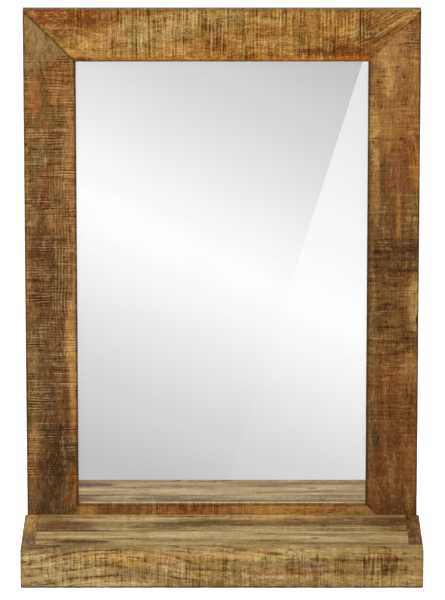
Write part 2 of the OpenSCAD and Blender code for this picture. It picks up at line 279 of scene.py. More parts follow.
@dataclass(frozen=True)
class Sawing:
    """The marks that the saw left across the grain of one board."""

    seed: int
    pitch: float = 2.6
    depth: float = 0.22
    dark: float = 0.55
    light: float = 0.4
    run: float = 45.0
    slant: float = 0.012
    even: float = 0.35
    patches: tuple[SawPatch, ...] = ()
    smooth: tuple[tuple[Point, Point, float], ...] = ()

    # How much of the marks goes where the board was left smooth
    CALMED = 0.85

    def calm(self, s: np.ndarray, a: np.ndarray) -> np.ndarray:
        """Marks the places that were left smooth.

        Args:
            s: Distance of each point along the grain.
            a: Distance of each point across the face.

        Returns:
            1 where the board is smooth, falling to 0 beside it.
        """
        calm = np.zeros_like(s)
        for at, radius, share in self.smooth:
            off = np.hypot((s - at[0]) / radius[0], (a - at[1]) / radius[1])
            calm = np.maximum(calm, share * (1 - eased(off, 0.75, 1.15)))
        return calm

    def strokes(self, s: np.ndarray, a: np.ndarray, length: float, width: float) -> np.ndarray:
        """Draws the strokes over a board.

        Args:
            s: Distance of each point along the grain.
            a: Distance of each point across the face.
            length: The board's length.
            width: The board's width.

        Returns:
            Above 0 in a dark groove and below 0 on a light crest, from -1 to 1.
        """
        rng = np.random.default_rng(self.seed)
        hills = Unevenness(self.seed + 1)
        total = np.zeros_like(s)
        low, high = s.min(1), s.max(1)
        at = 0.0
        while at < length:
            at += self.pitch * (0.35 + 1.3 * rng.random())
            middle, half = rng.random() * width, self.run * (0.25 + rng.random())
            heft = (0.35 + 0.65 * rng.random()) * (self.dark if rng.random() < 0.6 else -self.light)
            self._stroke(total, s, a, (low, high), at, (middle, half), heft, rng, hills)
        rough = self.even + (1 - self.even) * eased(hills.at(s / 38, a / 24), 0.3, 0.7)
        total *= rough
        for patch in self.patches:
            at = patch.at[0] - patch.radius[0]
            while at < patch.at[0] + patch.radius[0]:
                at += patch.pitch * (0.4 + 1.2 * rng.random())
                middle = patch.at[1] + (rng.random() - 0.5) * patch.radius[1]
                half = patch.radius[1] * (0.5 + 0.5 * rng.random())
                heft = patch.dark * (0.5 + 0.5 * rng.random())
                self._stroke(total, s, a, (low, high), at, (middle, half), heft, rng, hills)
        return np.clip(total, -1, 1) * (1 - self.CALMED * self.calm(s, a))

    def _stroke(
        self,
        total: np.ndarray,
        s: np.ndarray,
        a: np.ndarray,
        spans: tuple[np.ndarray, np.ndarray],
        at: float,
        reach: Point,
        heft: float,
        rng: np.random.Generator,
        hills: Unevenness,
    ) -> None:
        """Adds one stroke of the saw.

        Args:
            total: The marks so far, which this adds to.
            s: Distance of each point along the grain.
            a: Distance of each point across the face.
            spans: The lowest and the highest s in each row of points.
            at: Where the stroke lies along the board.
            reach: The stroke's middle across the face, and half its length.
            heft: How dark it is, or below 0 how light.
            rng: Draws its width and its slant.
            hills: Breaks it up along its length.
        """
        wide = 0.36 + 0.34 * rng.random()
        slant = self.slant * rng.normal()
        rows = (spans[1] > at - 4) & (spans[0] < at + 4)
        if not rows.any():
            return
        sr, ar = s[rows], a[rows]
        wander = 0.8 * (hills.at(ar / 16 + at, ar * 0 + at * 0.37) - 0.5)
        off = (sr - at - slant * (ar - reach[0]) - wander) / wide
        window = 1 - eased(np.abs(ar - reach[0]), 0.75 * reach[1], 1.15 * reach[1])
        broken = 0.5 + 0.6 * hills.at(ar / 11 + 3 * at, ar * 0 + at * 1.7)
        total[rows] += heft * np.exp(-off * off) * window * broken


@dataclass(frozen=True)
class Stain:
    """A patch of another colour in the wood, placed on a board's face, or at one depth of its side."""

    at: Point
    radius: Point
    tone: Rgb
    strength: float = 0.7
    ragged: float = 0.6
    depth: Point | None = None


@dataclass(frozen=True)
class Comb:
    """A patch where fine lines run along the grain."""

    at: Point
    radius: Point
    pitch: float = 2.4
    strength: float = 0.5


class Tree:
    """A material's nodes, made one call at a time."""

    # How much common noise is stretched about its middle to run nearly from 0 to 1
    FULL_SWING = 3.2

    def __init__(self, name: str) -> None:
        """Starts a material with an empty tree.

        Args:
            name: The material's name.
        """
        self.material = bpy.data.materials.new(name)
        self.material.use_nodes = True
        self.nodes = self.material.node_tree.nodes
        self.links = self.material.node_tree.links
        self.nodes.clear()

    def node(self, kind: str, inputs: dict | None = None, **settings: object) -> bpy.types.Node:
        """Adds a node.

        Args:
            kind: Blender's name for the node, without the words Shader and Node before it.
            inputs: What goes into each input, by its name or number: a socket or a value.
            **settings: Settings on the node itself.

        Returns:
            The node.
        """
        made = self.nodes.new("ShaderNode" + kind)
        for key, value in settings.items():
            setattr(made, key, value)
        for key, value in (inputs or {}).items():
            if isinstance(value, Socket):
                self.links.new(value, made.inputs[key])
            else:
                made.inputs[key].default_value = value
        return made

    def attribute(self, name: str, output: str = "Fac") -> Socket:
        """Reads what the mesh keeps on its points under one name."""
        return self.node("Attribute", attribute_name=name).outputs[output]

    def spread(self, scale: Triple) -> Socket:
        """Gives each point's place, in metres, times a scale along each axis."""
        return self.vector("MULTIPLY", self.node("TexCoord").outputs["Object"], scale)

    def axis(self, place: Socket, number: int) -> Socket:
        """Takes one axis out of a vector, where the first is 0."""
        return self.node("SeparateXYZ", {0: place}).outputs[number]

    def math(self, operation: str, a: object, b: object = 0.0) -> Socket:
        """Works out one sum on sockets or numbers, by Blender's name for it."""
        return self.node("Math", {0: a, 1: b}, operation=operation).outputs[0]

    def vector(self, operation: str, a: object, b: object = (0.0, 0.0, 0.0)) -> Socket:
        """Works out one sum on vectors, and gives a number for a length and otherwise a vector."""
        made = self.node("VectorMath", {0: a, 1: b}, operation=operation)
        return made.outputs["Value" if operation == "LENGTH" else "Vector"]

    def swing(self, value: Socket, gain: object) -> Socket:
        """Gives how far a value lies above a middle of 0.5, times a gain."""
        return self.math("MULTIPLY", self.math("SUBTRACT", value, 0.5), gain)

    def noise(self, place: Socket, detail: float = 3.0, rough: float = 0.55, name: str = "Fac") -> Socket:
        """Reads noise with clouds about one unit wide, under which lie finer layers as strong as rough."""
        inputs = {"Vector": place, "Scale": 1.0, "Detail": detail, "Roughness": rough}
        return self.node("TexNoise", inputs).outputs[name]

    def layered(self, layers: list[tuple[Socket, float]]) -> Socket:
        """Adds up layers of noise about a middle of 0.5.

        Args:
            layers: Each layer and its strength, where 1 sends common noise nearly from 0 to 1.

        Returns:
            The sum's socket.
        """
        total = 0.5
        for layer, strength in layers:
            total = self.math("ADD", total, self.swing(layer, self.FULL_SWING * strength))
        return total

    def eased(self, value: object, low: float, high: float, to: Point = (0.0, 1.0)) -> Socket:
        """Runs smoothly between the two results in to, as a value runs from low to high."""
        inputs = {"Value": value, "From Min": low, "From Max": high, "To Min": to[0], "To Max": to[1]}
        return self.node("MapRange", inputs, interpolation_type="SMOOTHSTEP").outputs["Result"]

    def mix(self, share: object, a: object, b: object, how: str = "MIX") -> Socket:
        """Mixes two colours.

        Args:
            share: How much of the second there is.
            a: The first colour: a socket, a tone or linear light.
            b: The second colour.
            how: Blender's name for the way of mixing.

        Returns:
            The colour's socket.
        """
        a, b = (linear(c) if isinstance(c, tuple) and len(c) == 3 else c for c in (a, b))
        inputs = {0: share, 6: a, 7: b}
        return self.node("Mix", inputs, data_type="RGBA", blend_type=how).outputs[2]

    def tinted(self, colour: Socket, tint: object) -> Socket:
        """Multiplies one colour by another."""
        return self.mix(1.0, colour, tint, "MULTIPLY")

    def bump(self, height: Socket, strength: float, distance: float) -> Socket:
        """Turns a height into relief, where distance is how tall 1 is in metres."""
        inputs = {"Height": height, "Strength": strength, "Distance": distance}
        return self.node("Bump", inputs).outputs["Normal"]

    def finish(self, **sockets: object) -> bpy.types.Material:
        """Ends the tree in one surface shader.

        Args:
            **sockets: The shader's inputs, with _ for a space in their names.

        Returns:
            The material.
        """
        surface = self.node("BsdfPrincipled", {k.replace("_", " "): v for k, v in sockets.items()})
        self.node("OutputMaterial", {"Surface": surface.outputs[0]})
        return self.material


@dataclass(frozen=True)
class Tones:
    """The colours that one timber runs through, as seen on a screen."""

    middle: Rgb
    warm: Rgb
    cool: Rgb
    pale: Rgb
    shade: Rgb = (150, 128, 86)


@dataclass(frozen=True)
class SawnTimber:
    """The finish of one oiled hardwood board.

    A board's colour is its own middle tone, moved by broad hues and placed stains. A tone from 0 to 1 then
    takes it down to its shaded grain or up to its pale grain, and carries the fibres, the growth rings,
    the saw's lines and the specks.
    """

    tones: Tones
    seed: float
    fibre: float = 0.3
    fibre_width: float = 1.9
    fibre_length: float = 34.0
    figure: float = 0.25
    cross: float = 0.55
    cross_pitch: float = 1.9
    cross_length: float = 34.0
    broad: float = 0.38
    scores: float = 0.3
    teeth: float = 0.0
    teeth_pitch: float = 3.4
    strokes: float = 0.7
    pores: float = 0.35
    mottle: float = 0.25
    clouds: float = 0.25
    hues: float = 0.7
    flecks: float = 0.8
    waver: float = 5.0
    ring_pitch: float = 3.0
    ring_run: float = 260.0
    ring_lines: float = 0.0
    line_pitch: float = 8.0
    lines_fade: tuple[float, float] = (200.0, 300.0)
    pith: Point = (30.0, -55.0)
    wander: float = 7.0
    swell: tuple[float, float, float] = (0.0, 100.0, 0.0)
    swell_gain: float = 0.0
    # The colour of the painted shade along edges and sides and of the dark joints, and how strongly it shows
    edge: Rgb = (58, 42, 20)
    edge_strength: float = 0.75
    sheen: float = 0.004
    light: float = 1.04
    stains: tuple[Stain, ...] = ()
    combs: tuple[Comb, ...] = ()

    # The least share of light that the wood sends back
    DARKEST = 0.002

    def material(self, name: str) -> bpy.types.Material:
        """Builds the board's material, laid out in the board's own axes."""
        return BoardTree(name, self).build()

    def seen(self, tone: Rgb) -> tuple[float, float, float, float]:
        """Turns a colour as it looks in the studio into the share of light that the wood sends back."""
        red, green, blue = (max(c - self.sheen, self.DARKEST) / self.light for c in linear(tone)[:3])
        return red, green, blue, 1.0


class BoardTree(Tree):
    """The nodes of one board's material, laid out in the board's own axes.

    A point's place is where it lies on the board. Moved, it lies in the board's own part of the noise, and
    bent, it is moved and pulled aside with the grain.
    """

    # How long the clouds of each noise are along the grain, and how wide across it, in millimetres
    DRIFT = (85.0, 34.0)
    HUE = (62.0, 14.0)
    PORE = (5.0, 1.3)
    MOTTLE = (10.0, 6.0)
    CLOUD = (70.0, 16.0)
    FLECK = (7.0, 4.5)
    LINE_DRIFT = (190.0, 30.0)
    LINE_GAP = (60.0, 9.0)
    WAVER = (42.0, 50.0)
    SAW_PATCH = (34.0, 24.0)
    TEETH_PATCH = (14.0, 30.0)
    TORN_EDGE = (14.0, 6.0)
    # The patches that make the painted shade along edges uneven
    EDGE_SHADE_PATCH = (9.0, 4.0)
    GRIT = (3.0, 0.4)
    # How far apart boards lie in the noise, for each 1 between their seeds
    SEED_STEP = (937.0, 211.0, 53.0)
    # Wide saw lines: their pitch, as a share of the fine lines' pitch, and their length
    WIDE_PITCH = 3.4
    WIDE_LENGTH = 60.0
    WAVE_HEIGHT = 0.14
    # The tints above and below the middle, for redder or greener and then yellower or greyer flecks
    FLECK_TINTS = (((255, 228, 206), (234, 250, 232)), ((255, 246, 190), (248, 238, 255)))
    PALE_LIFT = (1.58, 1.7, 1.8, 1.0)
    KNOT_TONE = (40, 26, 15)
    COMB_RAGGED = 0.4
    # The half height of a patch that runs right through the board
    THROUGH = 1e6

    def __init__(self, name: str, look: SawnTimber) -> None:
        """Starts the tree with the places that its noise is read at.

        Args:
            name: The material's name.
            look: The board's finish.
        """
        super().__init__(name)
        self.look = look
        self.place = self.attribute("board", "Vector")
        self.moved = self.vector("ADD", self.place, tuple(look.seed * step for step in self.SEED_STEP))
        self.hump = self._hump()
        self.pull = self._pull()
        self.bent = self.vector("ADD", self.moved, self.pull)
        self.torn = self.clouds(self.bent, self.TORN_EDGE, 4.0, 0.65)

    def build(self) -> bpy.types.Material:
        """Lays out the colour, the grain and the relief.

        Returns:
            The material.
        """
        look = self.look
        colour = self._hued()
        for stain in look.stains:
            reach = self._reach(stain, stain.ragged, stain.depth)
            share = self.eased(reach, 1.25, 0.5, (0.0, stain.strength))
            colour = self.mix(share, colour, look.seen(stain.tone))
        bold = self.math("ADD", self.math("MULTIPLY", self.hump, look.swell_gain), 1.0)
        fibres = self.clouds(self.bent, (look.fibre_length, look.fibre_width), 4.0, 0.6)
        fibres = self.math("ADD", self.swing(fibres, bold), 0.5)
        cross = self._cross_lines()
        radius = self._radius()
        layers = [
            (fibres, look.fibre),
            (self._rings(radius), look.figure),
            (cross, look.cross),
            (self.math("SUBTRACT", 0.5, self.math("MULTIPLY", self.attribute("saw"), 0.2)), look.strokes),
            (self.clouds(self.bent, self.PORE, 2.0, 0.65), look.pores),
            (self.clouds(self.moved, self.MOTTLE, 3.0, 0.6), look.mottle),
            (self.clouds(self.bent, self.CLOUD), look.clouds),
        ]
        if look.ring_lines:
            layers.append((self._ring_lines(radius), look.ring_lines))
        for comb in look.combs:
            within = self.eased(self._reach(comb, self.COMB_RAGGED), 1.2, 0.6)
            layers.append((self._waves(self.bent, 1, comb.pitch, within), comb.strength))
        colour = self._toned(self._flecked(colour), self.layered(layers))
        return self._surface(self._knots_joints_and_shade(colour), fibres, cross)

    def clouds(
        self, place: Socket, size: Point, detail: float = 3.0, rough: float = 0.55, name: str = "Fac"
    ) -> Socket:
        """Reads noise whose clouds have their own length along the grain and width across it."""
        along, across = size
        return self.noise(
            self.vector("MULTIPLY", place, (1 / along, 1 / across, 1 / across)), detail, rough, name
        )

    def _push(self, size: Point, reach: Triple) -> Socket:
        """Reads a smooth push of up to half its reach either way along each axis."""
        noise = self.clouds(self.moved, size, 2.0, 0.5, "Color")
        return self.vector("MULTIPLY", self.vector("SUBTRACT", noise, (0.5, 0.5, 0.5)), reach)

    def _hump(self) -> Socket:
        """Marks the stretch where the grain swells past a knot.

        Returns:
            1 in its middle, falling to 0 beside it.
        """
        middle, reach, _ = self.look.swell
        off = self.math("DIVIDE", self.math("SUBTRACT", self.axis(self.place, 0), middle), reach)
        return self.math("POWER", math.e, self.math("MULTIPLY", self.math("MULTIPLY", off, off), -1.0))

    def _pull(self) -> Socket:
        """Works out how far the grain wanders from straight, and swells past a knot.

        Returns:
            The pull, in millimetres across and down.
        """
        wander = self.look.wander * 2
        lift = self.node("CombineXYZ", {1: self.math("MULTIPLY", self.hump, self.look.swell[2])}).outputs[0]
        return self.vector("ADD", self._push(self.DRIFT, (0.0, wander, wander)), lift)

    def _hued(self) -> Socket:
        """Lays out the broad red, gold and olive parts of the board.

        Returns:
            The colour.
        """
        look = self.look
        middle, warm, cool = (look.seen(c) for c in (look.tones.middle, look.tones.warm, look.tones.cool))
        hue = self.clouds(self.bent, self.HUE, 4.0, 0.65)
        colour = self.mix(self.eased(hue, 0.5, 0.64, (0.0, look.hues)), middle, warm)
        return self.mix(self.eased(hue, 0.48, 0.34, (0.0, look.hues)), colour, cool)

    def _flecked(self, colour: Socket) -> Socket:
        """Scatters small flecks over the colour, redder or greener and yellower or greyer.

        Args:
            colour: The colour so far.

        Returns:
            The new colour.
        """
        noise = self.clouds(self.moved, self.FLECK, 3.0, 0.7, "Color")
        parts = self.node("SeparateXYZ", {0: noise}).outputs
        for part, (above, below) in zip(parts, self.FLECK_TINTS):
            for end, tint in ((0.64, above), (0.36, below)):
                share = self.eased(part, 0.5, end, (0.0, self.look.flecks))
                colour = self.mix(share, colour, self.tinted(colour, tint))
        return colour

    def _radius(self) -> Socket:
        """Measures the distance from the pith, which lies beside the board.

        Returns:
            The distance, in millimetres.
        """
        axes = self.node("SeparateXYZ", {0: self.vector("ADD", self.place, self.pull)}).outputs
        across = self.math("SUBTRACT", axes[1], self.look.pith[0])
        down = self.math("SUBTRACT", axes[2], self.look.pith[1])
        return self.vector("LENGTH", self.node("CombineXYZ", {0: across, 1: down}).outputs[0])

    def _rings(self, radius: Socket) -> Socket:
        """Reads the growth rings, which run round the pith.

        Args:
            radius: The distance from the pith.

        Returns:
            Uneven bands from 0 to 1.
        """
        turns = {
            0: self.math("DIVIDE", radius, self.look.ring_pitch),
            1: self.math("DIVIDE", self.axis(self.place, 0), self.look.ring_run),
            2: self.look.seed,
        }
        return self.noise(self.node("CombineXYZ", turns).outputs[0])

    def _ring_lines(self, radius: Socket) -> Socket:
        """Reads thin dark lines that follow the rings for a long way.

        Args:
            radius: The distance from the pith.

        Returns:
            About 0.5 between the lines and lower on one.
        """
        drift = self.math("MULTIPLY", self.clouds(self.place, self.LINE_DRIFT, 2.0, 0.5), 3.0)
        turn = self.math("ADD", self.math("DIVIDE", radius, self.look.line_pitch), drift)
        off = self.math("ABSOLUTE", self.math("SUBTRACT", self.math("FRACT", turn), 0.5))
        line = self.eased(off, 0.0, 0.2, (-0.5, 0.05))
        patchy = self.eased(self.clouds(self.place, self.LINE_GAP, 3.0, 0.6), 0.4, 0.62, (0.1, 1.0))
        fading = self.eased(self.axis(self.place, 0), *self.look.lines_fade, (1.0, 0.0))
        return self.math("ADD", self.math("MULTIPLY", line, self.math("MULTIPLY", patchy, fading)), 0.5)

    def _cross_lines(self) -> Socket:
        """Reads the saw's fine lines across the grain.

        Returns:
            Below 0.5 where the lines are dark.
        """
        look = self.look
        wavy = self.vector("ADD", self.moved, self._push(self.WAVER, (look.waver, 0.0, 0.0)))
        fine = self.clouds(wavy, (look.cross_pitch, look.cross_length), 3.0, 0.7)
        wide = self.clouds(wavy, (look.cross_pitch * self.WIDE_PITCH, self.WIDE_LENGTH), 2.0, 0.5)
        fine, wide = self.math("MULTIPLY", fine, 1 - look.broad), self.math("MULTIPLY", wide, look.broad)
        lines = self.math("ADD", fine, wide)
        lines = self.math("ADD", lines, self.math("MULTIPLY", self._scores(wavy), look.scores))
        uneven = self.eased(self.clouds(wavy, self.TEETH_PATCH, 3.0, 0.65), 0.36, 0.66, (0.0, 1.9))
        teeth = self.swing(self._waves(wavy, 0, look.teeth_pitch, uneven), look.teeth)
        patchy = self.eased(self.clouds(self.moved, self.SAW_PATCH, 2.0), 0.36, 0.6, (0.45, 1.25))
        rough = self.math("SUBTRACT", 1.0, self.attribute("calm"))
        lines = self.swing(self.math("ADD", lines, teeth), self.math("MULTIPLY", patchy, rough))
        return self.math("ADD", lines, 0.5)

    def _waves(self, axes: Socket, axis: int, pitch: float, share: Socket) -> Socket:
        """Reads evenly spaced lines across one axis, which swing about 0.5 as strongly as their share."""
        turn = self.math("MULTIPLY", self.axis(axes, axis), 2 * math.pi / pitch)
        wave = self.math("MULTIPLY", self.math("SINE", turn), self.WAVE_HEIGHT)
        return self.math("ADD", self.math("MULTIPLY", wave, share), 0.5)

    def _scores(self, wavy: Socket) -> Socket:
        """Reads thin crisp lines across the grain, dark and pale.

        Args:
            wavy: The points, moved and wavering.

        Returns:
            Below 0 on a dark line and above 0 on a pale one.
        """
        size = (self.look.cross_pitch * 2.6, self.look.cross_length * 2.2)
        course = self.clouds(wavy, size, 1.0, 0.4)
        dark = self.eased(self.math("ABSOLUTE", self.math("SUBTRACT", course, 0.47)), 0.0, 0.04, (-0.35, 0.0))
        pale = self.eased(self.math("ABSOLUTE", self.math("SUBTRACT", course, 0.56)), 0.0, 0.03, (0.3, 0.0))
        return self.math("ADD", dark, pale)

    def _toned(self, colour: Socket, tone: Socket) -> Socket:
        """Takes the colour down to its shaded grain or up to its pale grain.

        Args:
            colour: The colour so far.
            tone: 0 in the darkest grain, 0.5 where the colour stays and 1 in the palest.

        Returns:
            The new colour.
        """
        tones = self.look.tones
        pale = self.mix(0.44, self.tinted(colour, self.PALE_LIFT), self.look.seen(tones.pale))
        low = self.mix(self.eased(tone, -0.1, 0.52), self.tinted(colour, tones.shade), colour)
        return self.mix(self.eased(tone, 0.48, 1.1), low, pale)

    def _reach(self, patch: Stain | Comb, ragged: float, depth: Point | None = None) -> Socket:
        """Measures the distance from the middle of a patch, whose edge is torn along the grain.

        Args:
            patch: The patch.
            ragged: How torn its edge is.
            depth: Its middle and its half height down from the face, where it doesn't run right through.

        Returns:
            0 in the middle and about 1 at the edge.
        """
        middle, height = depth or (0.0, self.THROUGH)
        off = self.vector("SUBTRACT", self.place, (*patch.at, middle))
        shrink = (1 / patch.radius[0], 1 / patch.radius[1], 1 / height)
        reach = self.vector("LENGTH", self.vector("MULTIPLY", off, shrink))
        return self.math("ADD", reach, self.swing(self.torn, ragged * 2))

    def _knots_joints_and_shade(self, colour: Socket) -> Socket:
        """Adds knots, the dark joints, and the painted shade along edges, sides and the back of the outer
        side.

        Args:
            colour: The colour so far.

        Returns:
            The new colour.
        """
        colour = self.mix(self.eased(self.attribute("knot"), 0.1, 0.8, (0.0, 0.92)), colour, self.KNOT_TONE)
        strength = self.look.edge_strength
        # The painted shade along edges and sides, and the dark joints, made uneven in patches
        uneven = self.eased(self.clouds(self.place, self.EDGE_SHADE_PATCH, 2.0), 0.3, 0.6, (strength * 0.55, strength))
        share = self.math("MULTIPLY", self.attribute("edge"), uneven)
        return self.mix(share, colour, self.look.seen(self.look.edge))

    def _surface(self, colour: Socket, fibres: Socket, cross: Socket) -> bpy.types.Material:
        """Ends the tree: an oiled surface, satin on the crests and dull in the pores.

        Args:
            colour: The finished colour.
            fibres: The fibres.
            cross: The saw's fine lines.

        Returns:
            The material.
        """
        grit = self.clouds(self.moved, self.GRIT, 3.0, 0.6)
        height = self.layered([(fibres, 0.3), (grit, 0.3), (cross, self.look.cross * 0.6)])
        return self.finish(
            Base_Color=colour,
            Roughness=self.eased(grit, 0.3, 0.7, (0.52, 0.74)),
            Normal=self.bump(height, 0.5, 0.0004),
            Specular_IOR_Level=0.05,
        )


@dataclass(frozen=True)
class PlainFinish:
    """The finish of a small piece, where one noise moves the colour, the relief and the gloss."""

    first: Rgb
    second: Rgb
    scale: Triple
    detail: float = 4.0
    layers: float = 0.6
    span: Point = (0.35, 0.65)
    relief: float = 0.4
    relief_height: float = 0.0003
    roughness: Point = (0.55, 0.7)
    metallic: float = 0.0

    def material(self, name: str) -> bpy.types.Material:
        """Builds the material.

        Args:
            name: The material's name.

        Returns:
            The material.
        """
        t = Tree(name)
        noise = t.noise(t.spread(self.scale), self.detail, self.layers)
        return t.finish(
            Base_Color=t.mix(t.eased(noise, *self.span), self.first, self.second),
            Metallic=self.metallic,
            Roughness=t.eased(noise, 0.3, 0.7, self.roughness),
            Normal=t.bump(noise, self.relief, self.relief_height),
        )


BEECH_ALONG_X = PlainFinish((176, 134, 86), (214, 178, 128), (40.0, 900.0, 900.0))
BEECH_ALONG_Y = replace(BEECH_ALONG_X, scale=(900.0, 40.0, 900.0))
BRIGHT_ZINC = PlainFinish(
    first=(196, 199, 204),
    second=(150, 152, 156),
    scale=(420.0, 420.0, 420.0),
    layers=0.65,
    span=(0.35, 0.7),
    relief=0.25,
    relief_height=0.0001,
    roughness=(0.28, 0.46),
    metallic=1.0,
)
PACKER_RUBBER = PlainFinish(
    first=(26, 26, 27),
    second=(52, 51, 50),
    scale=(650.0, 650.0, 650.0),
    detail=3.0,
    span=(0.45, 0.7),
    relief=0.3,
    relief_height=0.0002,
    roughness=(0.7, 0.9),
)


@dataclass(frozen=True)
class SilveredGlass:
    """The finish of the mirror glass: silver, with the faintest haze left by a cloth."""

    tone: Rgb = (250, 250, 250)
    hazed: Rgb = (245, 245, 246)
    scale: Triple = (9.0, 9.0, 14.0)
    haze: float = 0.012
    silver: float = 0.94

    def material(self, name: str) -> bpy.types.Material:
        """Builds the material.

        Args:
            name: The material's name.

        Returns:
            The material.
        """
        t = Tree(name)
        cloth = t.noise(t.spread(self.scale), 4.0, 0.6)
        colour = t.mix(t.eased(cloth, 0.35, 0.75, (0.0, 0.35)), self.tone, self.hazed)
        rough = t.eased(cloth, 0.4, 0.8, (0.0, self.haze))
        return t.finish(Base_Color=colour, Metallic=self.silver, Roughness=rough)


@dataclass(frozen=True)
class Hardboard:
    """The finish of brown hardboard: pressed fibres, mottled, with a soft shine."""

    tone: Rgb = (104, 72, 46)
    dark: Rgb = (90, 61, 39)
    pale: Rgb = (134, 98, 66)
    fibre_scale: Triple = (520.0, 700.0, 360.0)
    cloud_scale: Triple = (11.0, 11.0, 11.0)

    def material(self, name: str) -> bpy.types.Material:
        """Builds the material.

        Args:
            name: The material's name.

        Returns:
            The material.
        """
        t = Tree(name)
        fibres = t.noise(t.spread(self.fibre_scale), 5.0, 0.7)
        clouds = t.noise(t.spread(self.cloud_scale), 3.0, 0.5)
        colour = t.mix(t.eased(clouds, 0.3, 0.7), self.dark, self.tone)
        colour = t.mix(t.eased(fibres, 0.52, 0.72, (0.0, 0.6)), colour, self.pale)
        colour = t.mix(t.eased(fibres, 0.45, 0.3, (0.0, 0.6)), colour, self.dark)
        rough = t.eased(clouds, 0.3, 0.7, (0.42, 0.6))
        return t.finish(Base_Color=colour, Roughness=rough, Normal=t.bump(fibres, 0.35, 0.0003))


@dataclass
class Board:
    """One board, swept along its grain from a section, with its relief in the mesh."""

    name: str
    length: float
    section: Section
    placing: Placing
    look: BoardLook
    mitred: bool = False
    end_round: float = 0.0
    joint_width: float = 1.9
    ring_step: float = 0.65
    hollow: float = 0.12
    wear: float = 0.35
    groove: Point = (0.3, 0.7)

    # The rings beside each end, by their distance from it in millimetres
    CLOSE_RINGS = (0.35, 0.7, 1.2, 1.8, 2.6)

    def build(self) -> bpy.types.Object:
        """Makes the board's mesh.

        Returns:
            The object, with the board's own axes and marks kept on its points.
        """
        outline, inward = self.section.outline(), self.section.inward()
        width = outline[:, 0].max()
        first, last = (outline[:, 0], self.length - outline[:, 0]) if self.mitred else (0.0, self.length)
        rings = self._rings()
        s = first + (last - first) * rings[:, None] + outline[:, 0] * 0
        a = np.broadcast_to(outline[:, 0], s.shape)
        saw = self.look.sawing.strokes(s, a, self.length, width)
        depth, knot = self._relief(s, a, saw)
        depth = depth + self._end_ease(s, first, last)
        near_end = self._joint(s, first, last)
        grid = np.stack([s, a + depth * inward[:, 0], outline[:, 1] + depth * inward[:, 1]], 2)
        piece = self._mesh(grid)
        # The edge mark holds the painted shade along edges and sides, and the dark joints
        edge = np.clip(self._shade_and_grime(outline)[None] + near_end, 0, 1)
        calm = self.look.sawing.calm(s, a) * Sawing.CALMED
        kept = {"saw": saw * self._saw_share(), "knot": knot, "edge": edge, "calm": calm}
        for name, values in kept.items():
            layer = piece.data.attributes.new(name, "FLOAT", "POINT")
            layer.data.foreach_set("value", values.astype(np.float32).ravel())
        lay_axes(piece, self.placing)
        return piece

    def _shade_and_grime(self, outline: np.ndarray) -> np.ndarray:
        """Works out the painted shade along the board's rounded edges, over its side faces and towards the
        back of its outer side; along the edges it stands for some real grime too.

        Args:
            outline: The section's points.

        Returns:
            A share from 0 to 1 for each point.
        """
        across, down = outline[:, 0], outline[:, 1]
        inner = across > across.max() / 2
        dark = np.where(inner, self.look.dark_edges[1], self.look.dark_edges[0])
        # Painted shade along the rounded edges, with some real grime
        edges = self.section.nearness_to_edge(0.9) * dark
        # Painted shade over whole side faces
        sides = np.array([SHADE_SHARE[skin] for skin in self.section.skins]) * dark
        # Painted shade, darker towards the back of the outer side
        back = self.look.dark_back * eased(down, down.max() * 0.5, down.max() * 0.95) * ~inner
        return edges + sides + back

    def _rings(self) -> np.ndarray:
        """Gives the rings' places along the board, from 0 to 1, closer together at its ends."""
        even = np.linspace(0, 1, max(2, round(self.length / self.ring_step)) + 1)
        close = np.array(self.CLOSE_RINGS) / self.length
        return np.unique(np.round(np.concatenate([even, close, 1 - close]), 6))

    def _saw_share(self) -> np.ndarray:
        """Gives how strongly the saw shows at each point of the section."""
        return np.array([SAW_SHARE[skin] for skin in self.section.skins])

    def _relief(self, s: np.ndarray, a: np.ndarray, saw: np.ndarray) -> tuple[np.ndarray, np.ndarray]:
        """Works out how deep each point lies below the board's full size.

        Args:
            s: Distance of each point along the grain.
            a: Distance of each point across the face.
            saw: The saw's marks.

        Returns:
            Depths in millimetres, and how far each point is in a knot.
        """
        hills = Unevenness(self.look.sawing.seed + 7)
        d = self.section.outline()[:, 1]
        gentle = hills.at(s / 55, (a + d) / 19) * 0.6 + hills.at(s / 17 + 9, (a + d) / 9 + 5) * 0.4
        depth = self.hollow * gentle + self.look.sawing.depth * (0.3 + 0.7 * saw) * self._saw_share()
        dents = eased(hills.at(s / 6 + 31, d * 0 + 2), 0.55, 0.95) * self.wear
        depth = depth + dents * self.section.nearness_to_edge(0.7)
        knot = np.zeros_like(s)
        for mark in self.look.marks:
            off = np.hypot((s - mark.at[0]) / mark.radius[0], (a - mark.at[1]) / mark.radius[1])
            off = off + 0.5 * (hills.at(s / 2.2 + 17, a / 2.2 + 13) - 0.5)
            inside = (1 - eased(off, 0.45, 1.1)) * (1 - eased(d, 2.0, 6.0))
            depth = depth + mark.depth * inside
            knot = np.maximum(knot, mark.dark * inside)
        shown = np.array([skin is not Skin.HIDDEN for skin in self.section.skins])
        return np.maximum(depth, 0) * shown, knot

    def _end_ease(self, s: np.ndarray, first: np.ndarray, last: np.ndarray) -> np.ndarray:
        """Draws the outline in at the ends, so that a joint shows as a fine groove.

        Args:
            s: Distance of each point along the grain.
            first: Where the board starts at each point of its section.
            last: Where it ends.

        Returns:
            Depths in millimetres.
        """
        gap = np.minimum(s - first, last - s)
        depth = self.groove[0] * (1 - eased(gap, 0.0, self.groove[1]))
        if self.end_round:
            inside = np.clip(self.end_round - gap, 0, self.end_round)
            depth = self.end_round - np.sqrt(np.maximum(self.end_round**2 - inside**2, 0))
        shown = np.array([skin in (Skin.SAWN, Skin.SIDE) for skin in self.section.skins])
        return depth * shown

